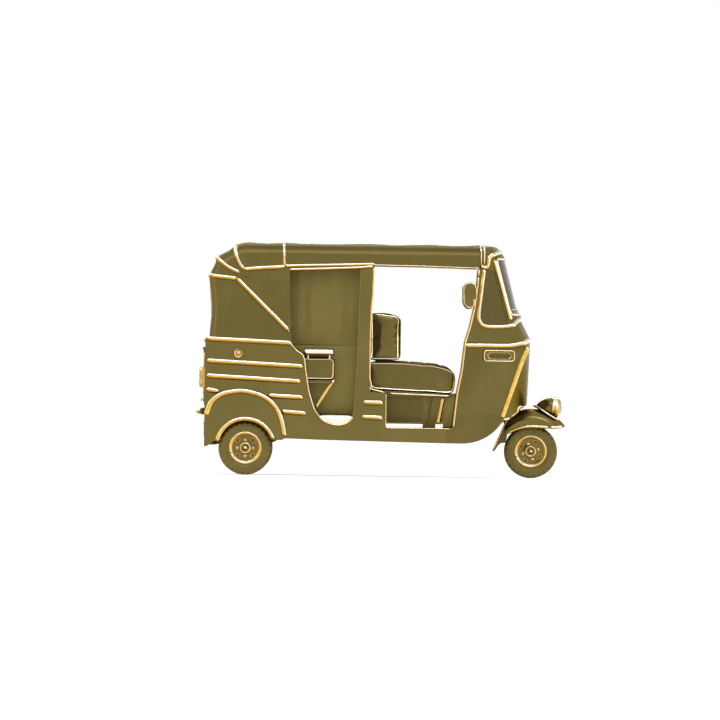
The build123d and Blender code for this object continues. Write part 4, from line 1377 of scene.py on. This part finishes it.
# Cab trim: hoops over the roof's front, vents, windscreen surround, wiper, horn slats
cabTrim = {
    "hoops": [0.699, 0.723], "hoopLow": 1.494, "hoopCentre": 1.25, "hoopSteps": 90,
    "hoopBead": (0.014, 0.006),
    "vents": [(0.839, 0.868, 0.107, 0.037), (0.841, 0.868, 0.084, 0.022)], "ventBead": (0.011, 0.005),
    "ventSlats": [850, 862, 874, 886], "ventEnds": (768, 914), "slatBead": (0.007, 0.006),
    "screen": (0.466, 1.163, 1.557, 0.048), "screenBead": (0.018, 0.007),
    # the wiper's ends, radius and distance off the glass
    "blade": ([(3, -0.40, 1.196), (3, 0.04, 1.204)], 0.004, 0.004),
    "arm": ([(3, 0.06, 1.150), (3, -0.16, 1.200)], 0.003, 0.007),
    "horn": [0.60, 0.625, 0.65, 0.675, 0.70], "hornHalf": 0.13, "hornBead": (0.012, 0.007),
}


def roofHoop(skin, x):
    centre = Vector((x, 0, cabTrim["hoopCentre"]))
    line, normals = [], []
    for k in range(cabTrim["hoopSteps"] + 1):
        a = math.radians(5) + math.radians(170) * k / cabTrim["hoopSteps"]
        way = Vector((0, math.cos(a), math.sin(a)))
        place, normal, _, _ = skin.ray_cast(centre + way * 1.5, -way)
        if place and place.z > cabTrim["hoopLow"] and (not line or (place - line[-1]).length < 0.08):
            line.append(place)
            normals.append(against(normal, -way))
    return ridge(line, softened(normals), *cabTrim["hoopBead"])


def makeVents():
    parts = []
    skin = skinOf("side_vents", "cowl_right")
    for cx, cz, halfX, halfZ in cabTrim["vents"]:
        outline = standing(roundedBox(cx, cz, halfX, halfZ, min(halfZ, 0.022) * 0.95), -1)
        parts += bothSides(pressed(skin, outline, toLeft, *cabTrim["ventBead"], 0.008, closed=True))
    addPiece("ventRings", parts, "bead")
    parts = []
    skin = skinOf("cowl_right")
    for z in cabTrim["ventSlats"]:
        line = sideView([(x, z) for x in cabTrim["ventEnds"]], -1)
        parts += bothSides(pressed(skin, line, toLeft, *cabTrim["slatBead"], 0.01))
    addPiece("ventSlats", parts, "body")


def makeWiper():
    skin = skinOf("windscreen_glass", "windscreen_frame")
    rods = []
    for points, radius, off in (cabTrim["blade"], cabTrim["arm"]):
        line, normals = press(skin, evenly(points, 0.02), toBack)
        rods.append(tube([p + n * off for p, n in zip(line, normals)], radius, 10))
    (pivot,), (normal,) = press(skin, [Vector(cabTrim["arm"][0][0])], toBack)
    stub = tube([pivot - normal * 0.002, pivot + normal * 0.010], 0.011, 16)
    addPiece("wiper", rods + [stub], "satin")


def makeCabTrim():
    skin = skinOf("windscreen_frame")
    addPiece("roofBands", [roofHoop(skin, x) for x in cabTrim["hoops"]], "bead")
    makeVents()
    half, low, high, corner = cabTrim["screen"]
    outline = facingFront(roundedBox(0, (low + high) / 2, half, (high - low) / 2, corner), 3)
    surround = pressed(skin, outline, toBack, *cabTrim["screenBead"], 0.014, closed=True)
    addPiece("screenSurround", [surround], "bead")
    makeWiper()
    parts = []
    skin = skinOf("nose_panel")
    for z in cabTrim["horn"]:
        span = cabTrim["hornHalf"] * (1 - 0.25 * abs(z - 0.65) / 0.05)
        parts.append(pressed(skin, [(3, -span, z), (3, span, z)], toBack, *cabTrim["hornBead"]))
    addPiece("hornSlats", parts, "bead")


# Mudguard, headlamp and mirrors
steered = {
    "guardLines": [[(903, 320), (985, 354), (1064, 368), (1199, 364)],
                   [(1208, 364), (1262, 366), (1300, 374)]], "guardBead": (0.022, 0.007),
    "flapLine": [(927, 446), (884, 372), (806, 190)], "flapBead": (0.008, 0.004),
    "lampPlace": (1.200, 0.0, 0.508), "lampTilt": 6, "fluteDepth": 0.0014, "fluteSpacing": 0.012,
    "shell": [(0.004, -0.089), (0.018, -0.080), (0.038, -0.060), (0.056, -0.030), (0.066, 0.0),
              (0.070, 0.022)],
    "rim": [(0.068, 0.020), (0.073, 0.022), (0.0755, 0.027), (0.0735, 0.033), (0.0735, 0.046),
            (0.0755, 0.052), (0.0735, 0.059), (0.069, 0.064), (0.064, 0.062)],
    "lens": [(0.066, 0.060), (0.060, 0.073), (0.045, 0.083), (0.024, 0.0890), (0.008, 0.0905),
             (0.0, 0.0905)],
    "bowl": [(0.062, 0.058), (0.052, 0.030), (0.030, 0.012), (0.006, 0.006), (0.0, 0.006)],
    "bulb": [(0.010, 0.006), (0.010, 0.022), (0.006, 0.032), (0.0, 0.035)],
    "collar": [(1.098, 0, 0.517), (1.130, -0.046, 0.500), (1.175, -0.067, 0.472), (1.220, -0.073, 0.444),
               (1.252, -0.060, 0.425), (1.266, -0.030, 0.417), (1.270, 0, 0.415)],
}


def makeGuardTrim():
    parts = []
    skin = skinOf("front_mudguard")
    for points in steered["guardLines"]:
        parts += bothSides(pressed(skin, sideView(points, -1), toLeft, *steered["guardBead"], 0.01))
    line = sideView(steered["flapLine"], -0.080)
    parts += bothSides(bead(line, toRight, *steered["flapBead"], 0.01, sink=0.001))
    addPiece("guardBeads", parts, "bead", "steering")


def inLamp(part):
    return moved(part, steered["lampPlace"], spin(steered["lampTilt"], "Y"))


def lampPart(name, steps=56):
    return inLamp(turned(steered[name], steps, "X"))


def makeHeadlamp():
    shell = addPiece("headlampShell", [lampPart("shell")], "body", "steering")
    rim = addPiece("headlampRim", [lampPart("rim")], "bead", "steering")
    profile = evenly([(r, 0, s) for r, s in steered["lens"]], 0.004)
    verts, faces = turned([(p.x, p.z) for p in profile], 72, "X")
    for v in verts:
        v.x += steered["fluteDepth"] * math.cos(v.y * 2 * math.pi / steered["fluteSpacing"])
    lens = addPiece("headlampLens", [inLamp((verts, faces))], "clear", "steering")
    addPiece("headlampBowl", [lampPart("bowl"), lampPart("bulb", 20)], "plate", "steering")
    half = evenly(steered["collar"], 0.01)
    collar = tube(half + [acrossFrom(p) for p in reversed(half[1:-1])], 0.0085, 10, closed=True)
    addPiece("headlampCollar", [collar], "bead", "steering")
    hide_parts("headlamp")


mirror = {
    "outline": [(0.583, 1.237), (0.578, 1.286), (0.578, 1.338), (0.590, 1.374), (0.622, 1.388),
                (0.653, 1.378), (0.669, 1.346), (0.673, 1.291), (0.666, 1.242), (0.648, 1.211),
                (0.617, 1.202), (0.595, 1.214)],
    "centre": (0.625, 1.295), "span": (-0.723, -0.618), "rimInset": 0.07, "rimBead": (0.008, 0.004),
    "joint": (0.657, -0.600, 1.256), "foot": (0.676, -0.556, 1.262), "neckEnd": (0.634, -0.640, 1.262),
    "ball": [(0.0, -0.013), (0.007, -0.011), (0.012, -0.005), (0.013, 0.0), (0.012, 0.005), (0.007, 0.011),
             (0.0, 0.013)],
    "arm": 0.007, "armBend": (0.004, 0, 0.003), "neck": 0.006, "edge": 0.010,
    "clamp": ((0.645, -0.727, 1.244), (0.668, -0.700, 1.268), 0.008),
    "strap": [(0.656, -0.723, 1.250), (0.652, -0.724, 1.228), (0.640, -0.722, 1.204)],
    "glass": ((0.5755, -0.712, 1.240), (0.580, -0.629, 1.366), 0.002),
}


def makeMirrors():
    low, high = mirror["span"]
    outline = [(p.x, p.z) for p in evenly(standing(mirror["outline"]), 0.008, closed=True)]
    shell = addPiece("mirrorShells", bothSides(plate(outline, low, high, mirror["edge"])), "body")
    middle = Vector((mirror["centre"][0], low, mirror["centre"][1]))
    inset = [p.lerp(middle, mirror["rimInset"]) for p in standing(mirror["outline"], low)]
    rim = ridge(evenly(inset, 0.008, closed=True), toRight, *mirror["rimBead"], closed=True)
    joint, foot = Vector(mirror["joint"]), Vector(mirror["foot"])
    ball = turned(mirror["ball"], 24, "Y", joint)
    arm = tube([joint, joint.lerp(foot, 0.5) + Vector(mirror["armBend"]), foot], mirror["arm"])
    neck, strap = (tube(line, mirror["neck"]) for line in ([mirror["neckEnd"], joint], mirror["strap"]))
    parts = bothSides(rim) + bothSides(gather([ball, arm, neck, softBox(*mirror["clamp"]), strap]))
    addPiece("mirrorArms", parts, "bead")
    addPiece("mirrorGlasses", bothSides(softBox(*mirror["glass"])), "plate")
    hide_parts("mirrors")


makePolishedPlaces()
makeLining()
makeSeatBeads()
makeCabTrim()
makeGuardTrim()
makeHeadlamp()
makeMirrors()
print("cab trim, lamps and mirrors fitted")


# Rear: lid louvres and handle, lamp rims and ribs, plate frame, bumper caps
rear = {
    "louvres": [0.575 + 0.032 * k for k in range(7)], "louvreHalf": 0.23, "louvreBead": (0.022, 0.010),
    "lidX": -1.256, "lidEdge": (0, 0.688, 0.318, 0.172, 0.03), "lidBead": (0.018, 0.006),
    "grip": ((-1.282, -0.050, 0.520), (-1.272, 0.050, 0.536), 0.004),
    "posts": [((-1.276, y - 0.006, 0.523), (-1.254, y + 0.006, 0.533), 0.002) for y in (-0.040, 0.040)],
    "lampX": -1.286, "lamps": (0.505, 0.690, 0.050, 0.066), "lampCorner": 0.02, "lampBead": (0.014, 0.008),
    "lampRibs": [-0.042 + 0.028 * k for k in range(4)], "lampRibHalf": 0.036, "lampRibBead": (0.022, 0.004),
    "belt": [(-3, -0.606, 0.955), (-3, 0.606, 0.955)], "beltBead": (0.034, 0.010),
    "plateX": -1.254, "plateEdge": (0, 0.325, 0.144, 0.049, 0.01), "plateBead": (0.008, 0.004),
    "bolts": [-0.09, 0.09], "boltZ": 0.360,
    "bumperEnd": (-1.256, 0.556, 0.447), "bumperAway": (0.45, 0.9, 0),
    # distances past the bumper's end, and the cap's radius at each
    "capAlong": [-0.020, 0.004, 0.010], "capRadius": [0.0235, 0.0235, 0.014],
}
backwards = Matrix(((0, 1, 0), (-1, 0, 0), (0, 0, 1)))


def onTail(part, x):
    # a part made facing -Y, turned to face the rear and put there
    return moved(part, (x, 0, 0), backwards)


def makeLidTrim():
    half, x = rear["louvreHalf"], rear["lidX"]
    louvres = [onTail(bead([(-half, 0, z), (half, 0, z)], (0, -1, 0.7), *rear["louvreBead"], 0.02), x)
               for z in rear["louvres"]]
    addPiece("lidLouvres", louvres, "body", "engine_lid")
    edge = bead(standing(roundedBox(*rear["lidEdge"])), toRight, *rear["lidBead"], closed=True)
    handle = [softBox(*box) for box in [rear["grip"], *rear["posts"]]]
    addPiece("lidHandle", [onTail(edge, x)] + handle, "bead", "engine_lid")


def makeTailLamps():
    rims, ribs = [], []
    y, z, halfY, halfZ = rear["lamps"]
    reach = rear["lampRibHalf"]
    for side in (-1, 1):
        outline = standing(roundedBox(side * y, z, halfY, halfZ, rear["lampCorner"]))
        rim = bead(outline, toRight, *rear["lampBead"], 0.008, closed=True, sink=0.012)
        rims.append(onTail(rim, rear["lampX"] + 0.006))
        for h in rear["lampRibs"]:
            line = [(side * y - reach, 0, z + h), (side * y + reach, 0, z + h)]
            ribs.append(onTail(bead(line, toRight, *rear["lampRibBead"]), rear["lampX"]))
    addPiece("tailLampRims", rims, "bead")
    tail = skinOf("rear_panel", "rear_quarter_right", "rear_quarter_left", "engine_lid")
    addPiece("rearBelt", [pressed(tail, rear["belt"], toFront, *rear["beltBead"], 0.02)], "bead")
    addPiece("tailLampRibs", ribs, "lens")


def makeRear():
    makeLidTrim()
    makeTailLamps()
    edge = bead(standing(roundedBox(*rear["plateEdge"])), toRight, *rear["plateBead"], 0.01, closed=True)
    parts = [onTail(edge, rear["plateX"])]
    for y in rear["bolts"]:
        parts += hexNut((rear["plateX"], -y, rear["boltZ"]), -1, 0.006, 0.004, backwards)
    addPiece("plateFrame", parts, "bead")
    caps = []
    for side in (-1, 1):
        place, away = Vector(rear["bumperEnd"]), Vector(rear["bumperAway"])
        place.y, away.y = place.y * side, away.y * side
        away.normalize()
        caps.append(tube([place + away * far for far in rear["capAlong"]], rear["capRadius"], 24))
    addPiece("bumperCaps", caps, "rubber")
    print("rear trimmed")


# Controls, instruments and floor
cabin = {
    "grips": [(0.748, 0.225, 0.907), (0.741, 0.305, 0.905)], "gripSteps": 24,
    "gripRadius": 0.0185, "gripRib": 0.0018, "gripEnd": 0.022,
    "lever": [(0.778, 0.185, 0.909), (0.800, 0.200, 0.905), (0.806, 0.250, 0.900), (0.800, 0.312, 0.897)],
    "leverRadius": 0.0045, "leverTip": 0.007,
    "clamp": (0.770, 0.185, 0.908), "clampHalf": (0.020, 0.020, 0.018),
    "barCover": [(0.0, 0.935), (0.030, 0.934), (0.052, 0.926), (0.062, 0.910), (0.060, 0.884),
                 (0.040, 0.862), (0.026, 0.850)], "barCoverPlace": (0.8515, 0, 0),
    "gauge": (0.898, 0.0, 1.052), "gaugeTilt": 20,
    "tick": ((0.034, -0.0096, -0.0012), (0.041, -0.0078, 0.0012), 0.0004), "ticks": range(30, -211, -30),
    "needle": ((-0.006, -0.0102, -0.0014), (0.030, -0.0090, 0.0014), 0.0005), "needleTurn": -120,
    "pod": [(0.0, 0.030), (0.040, 0.028), (0.050, 0.016), (0.052, -0.004), (0.049, -0.010)],
    "podRing": [(0.049, -0.010), (0.053, -0.013), (0.050, -0.017), (0.045, -0.015), (0.044, -0.008)],
    "podFace": [(0.045, -0.008), (0.0, -0.008)],
    "knob": [(0.0, 0.014), (0.008, 0.014), (0.010, 0.010), (0.010, 0.003), (0.013, 0.0)],
    "knobs": [-0.16, -0.12, 0.12, 0.16], "knobX": 0.930,
    # rows of ribs across each mat, and where they start and end
    "mats": [([-0.24 + 0.04 * k for k in range(13)], 0.32, 0.70),
             ([-0.54 + 0.06 * k for k in range(19)], -0.50, -0.17)], "matBead": (0.014, 0.0035),
    "pedalArm": [(0.700, -0.150, 0.348), (0.690, -0.150, 0.400), (0.665, -0.150, 0.440)],
    "pedal": (0.660, -0.150, 0.446), "pedalTilt": 35, "pedalHalf": (0.006, 0.032, 0.026),
}


def block(half, edge=0.006):
    # a box about its own middle
    return softBox(-Vector(half), half, edge)


def makeControls():
    soft, hard = [], []
    steps, radius, rib = cabin["gripSteps"], cabin["gripRadius"], cabin["gripRib"]
    sizes = [radius + (rib if k % 2 else 0.0) for k in range(steps + 1)]
    sizes[0] = sizes[-1] = cabin["gripEnd"]
    for side in (-1, 1):
        def onSide(*points):
            return [Vector((x, side * y, z)) for x, y, z in points]
        start, end = onSide(*cabin["grips"])
        soft.append(tube([start.lerp(end, k / steps) for k in range(steps + 1)], sizes, 20))
        lever = evenly(onSide(*cabin["lever"]), 0.01)
        hard.append(tube(lever, [cabin["leverRadius"]] * (len(lever) - 1) + [cabin["leverTip"]]))
        hard.append(moved(block(cabin["clampHalf"]), *onSide(cabin["clamp"])))
    addPiece("handleGrips", soft, "rubber", "steering")
    addPiece("handleLevers", hard, "bead", "steering")
    cover = turned(cabin["barCover"], 40, "Z", cabin["barCoverPlace"])
    addPiece("barCover", [cover], "body", "steering")


def makeInstruments():
    parts = {look: [turned(cabin[part], 40)]
             for look, part in (("body", "pod"), ("bead", "podRing"), ("plate", "podFace"))}
    tick, needle = (softBox(*cabin[part], steps=1) for part in ("tick", "needle"))
    parts["rubber"] = [moved(tick, turn=spin(degrees, "Y")) for degrees in cabin["ticks"]]
    parts["rubber"].append(moved(needle, turn=spin(cabin["needleTurn"], "Y")))
    turn = spin(cabin["gaugeTilt"], "Y") @ spin(-90, "Z")
    for look, some in parts.items():
        addPiece("gauge" + look.capitalize(), [moved(gather(some), cabin["gauge"], turn)], look)
    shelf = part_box("dashboard")[1][2]
    knobs = [moved(turned(cabin["knob"], 20, "Z"), (cabin["knobX"], y, shelf)) for y in cabin["knobs"]]
    addPiece("dashKnobs", knobs, "bead")


def makeFloor():
    parts = []
    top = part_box("floor_pan")[1][2]
    for rows, start, end in cabin["mats"]:
        low, high = min(rows) - 0.02, max(rows) + 0.02
        parts.append(softBox((start - 0.01, low, top), (end + 0.01, high, top + 0.003), 0.0014, steps=1))
        for y in rows:
            line = [(start, y, top + 0.003), (end, y, top + 0.003)]
            parts.append(bead(line, toTop, *cabin["matBead"], 0.03, steps=4))
    addPiece("floorMats", parts, "rubber")
    pad = moved(block(cabin["pedalHalf"], 0.004), cabin["pedal"], spin(cabin["pedalTilt"], "Y"))
    addPiece("brakePedal", [tube(cabin["pedalArm"], 0.007), pad], "satin")
    print("cabin fitted")


# Springs, engine and frame fastenings
below = {
    "springs": {"place": (-0.880, 0.450), "low": 0.250, "high": 0.652, "radius": 0.034, "wire": 0.0065,
                "turns": 9},
    "shock": [(0.0, 0.655), (0.040, 0.655), (0.041, 0.642), (0.036, 0.636), (0.010, 0.634), (0.010, 0.470),
              (0.020, 0.468), (0.022, 0.300), (0.038, 0.272), (0.041, 0.264), (0.041, 0.246), (0.0, 0.244)],
    "damper": {"low": (1.072, 0.076, 0.212), "high": (1.047, 0.076, 0.368), "radius": 0.0083, "wire": 0.0022,
               "turns": 9, "rod": [0.0075, 0.0075, 0.0045, 0.0045],
               "eyes": [(0.0, 0.06), (0.94, 1.0)], "eye": 0.0118},
    "engine": {"x": (-1.160, -0.860), "y": 0.190, "z": (0.345, 0.560), "fins": 9, "proud": 0.012},
    "fan": [(0.0, -0.016), (0.026, -0.016), (0.032, -0.008), (0.090, -0.008), (0.098, -0.016),
            (0.106, -0.012), (0.108, 0.004)], "fanPlace": (-1.166, 0, 0.455),
    "exhaust": [(-1.10, -0.150, 0.250), (-1.16, -0.170, 0.225), (-1.20, -0.210, 0.222),
                (-1.235, -0.260, 0.222)], "pipe": 0.013,
    "muffler": [(-1.08, 0.02, 0.238), (-1.08, -0.03, 0.238), (-1.08, -0.16, 0.238), (-1.08, -0.19, 0.238)],
    "mufflerRadius": [0.018, 0.034, 0.034, 0.016],
    "bolts": [-1.12, -0.86, -0.60, -0.34, -0.08, 0.18, 0.44], "boltY": 0.330, "boltZ": 0.295,
}


def coil(low, high, plan):
    low, high = Vector(low), Vector(high)
    ahead = (high - low).normalized()
    side = ahead.orthogonal().normalized()
    other = ahead.cross(side)
    turns = plan["turns"]
    count = turns * 20
    line = []
    for k in range(count + 1):
        a = 2 * math.pi * turns * k / count
        around = (side * math.cos(a) + other * math.sin(a)) * plan["radius"]
        line.append(low.lerp(high, 0.06 + 0.88 * k / count) + around)
    return tube(line, plan["wire"], 8)


def makeSprings():
    plan = below["springs"]
    x, y = plan["place"]
    coils = [coil((x, side * y, plan["low"]), (x, side * y, plan["high"]), plan) for side in (-1, 1)]
    springs = addPiece("rearCoils", coils, "satin")
    bodies = [turned(below["shock"], 36, "Z", (x, side * y, 0)) for side in (-1, 1)]
    shocks = addPiece("rearShocks", bodies, "under")
    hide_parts("rear_springs")
    plan = below["damper"]
    low, high = Vector(plan["low"]), Vector(plan["high"])
    middle = low.lerp(high, 0.5)
    rod = tube([low, middle, middle, high], plan["rod"], 20)
    ends = [tube([low.lerp(high, a), low.lerp(high, b)], plan["eye"], 20) for a, b in plan["eyes"]]
    damper = addPiece("frontShock", [rod, coil(low, high, plan)] + ends, "satin", "steering")
    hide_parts("front_damper")


def makeEngineParts():
    plan = below["engine"]
    (back, front), (bottom, top), proud = plan["x"], plan["z"], plan["proud"]
    side = plan["y"] + proud
    parts = []
    for k in range(plan["fins"]):
        z = bottom + (top - bottom) * k / (plan["fins"] - 1)
        parts.append(softBox((back - proud, -side, z), (front + proud, side, z + 0.006), 0.002, steps=1))
    parts.append(moved(turned(below["fan"], 40, "X"), below["fanPlace"]))
    addPiece("engineFins", parts, "cast")
    pipe = tube(evenly(below["exhaust"], 0.01), below["pipe"], 16)
    muffler = tube(below["muffler"], below["mufflerRadius"], 24)
    addPiece("exhaust", [pipe, muffler], "under")


def makeBolts():
    parts = []
    for x in below["bolts"]:
        for side in (-1, 1):
            turn = Matrix.Rotation(math.pi, 4, "Z") if side > 0 else None
            parts += hexNut((x, side * below["boltY"], below["boltZ"]), -1, 0.009, 0.006, turn)
    addPiece("frameBolts", parts, "satin", crease=30)
    print("underside fitted")


makeRear()
makeControls()
makeInstruments()
makeFloor()
makeSprings()
makeEngineParts()
makeBolts()


# Camera, lights, floor and world
view = {
    "lens": 900.0, "sensor": 36, "width": 5.112, "planeY": -0.61, "lookX": -0.150, "lookZ": 0.826,
    "roll": 0.802, "clipEnd": 300,
}
studio = {
    # place on the left, size and power of each lamp; both sides have one
    "lamps": {"stripLamp": ((0, 4.6, 6.0), (9.0, 0.55), 130),
              "frontLamp": ((5.5, 4.0, 2.2), (0.5, 3.2), 18),
              "rearLamp": ((-5.5, 4.0, 2.2), (0.5, 3.2), 26)},
    "target": (0, 0, 0.8), "world": 0.6, "floor": (0.92, 0.92, 0.92, 1), "floorGlow": 0.5,
    "floorReach": 160,
}


def setCamera():
    made = bpy.data.cameras.new("mainCamera")
    made.lens = view["lens"]
    made.sensor_width = view["sensor"]
    made.clip_end = view["clipEnd"]
    holder = placeNew("mainCamera", made)
    away = view["width"] * view["lens"] / made.sensor_width
    holder.location = (view["lookX"], view["planeY"] - away, view["lookZ"])
    holder.rotation_euler = (math.radians(90), math.radians(-view["roll"]), 0)
    bpy.context.scene.camera = holder


def lamp(name, place, size, power):
    made = bpy.data.lights.new(name, "AREA")
    made.shape = "RECTANGLE"
    made.size, made.size_y = size
    made.energy = power
    holder = placeNew(name, made)
    holder.location = place
    aim = Vector(studio["target"]) - Vector(place)
    holder.rotation_euler = aim.to_track_quat("-Z", "Y").to_euler()


def seenDirectly(tree):
    # 1 where the camera sees it, straight or in gloss and glass
    path = put(tree, "ShaderNodeLightPath").outputs
    seen = plus(tree, path["Is Camera Ray"], path["Is Glossy Ray"])
    return plus(tree, seen, path["Is Transmission Ray"], clamp=True)


def setWorld():
    world = bpy.data.worlds.new("studio")
    bpy.context.scene.world = world
    world.use_nodes = True
    tree = world.node_tree
    back = tree.nodes["Background"].inputs
    tree.links.new(remap(tree, seenDirectly(tree), 0, 1, studio["world"], 1.0), back["Strength"])
    back["Color"].default_value = (1, 1, 1, 1)


def layFloor():
    made = bpy.data.meshes.new("floor")
    reach = studio["floorReach"]
    made.from_pydata([(-reach, -reach, 0), (reach, -reach, 0), (reach, reach, 0), (-reach, reach, 0)], [],
                     [(0, 1, 2, 3)])
    floor = placeNew("floor", made)
    surface, tree = newFinish("paleFloor", Base_Color=studio["floor"], Roughness=0.9,
                              Emission_Color=(1, 1, 1, 1))
    glow = remap(tree, seenDirectly(tree), 0, 1, 0.0, studio["floorGlow"])
    tree.links.new(glow, tree.nodes["Principled BSDF"].inputs["Emission Strength"])
    made.materials.append(surface)


setCamera()
for side, sideName in ((-1, "Right"), (1, "Left")):
    for lampName, ((x, y, z), size, power) in studio["lamps"].items():
        lamp(lampName + sideName, (x, side * y, z), size, power)
setWorld()
layFloor()
bpy.context.scene.view_settings.view_transform = "Standard"
print("camera, lamps and floor set")
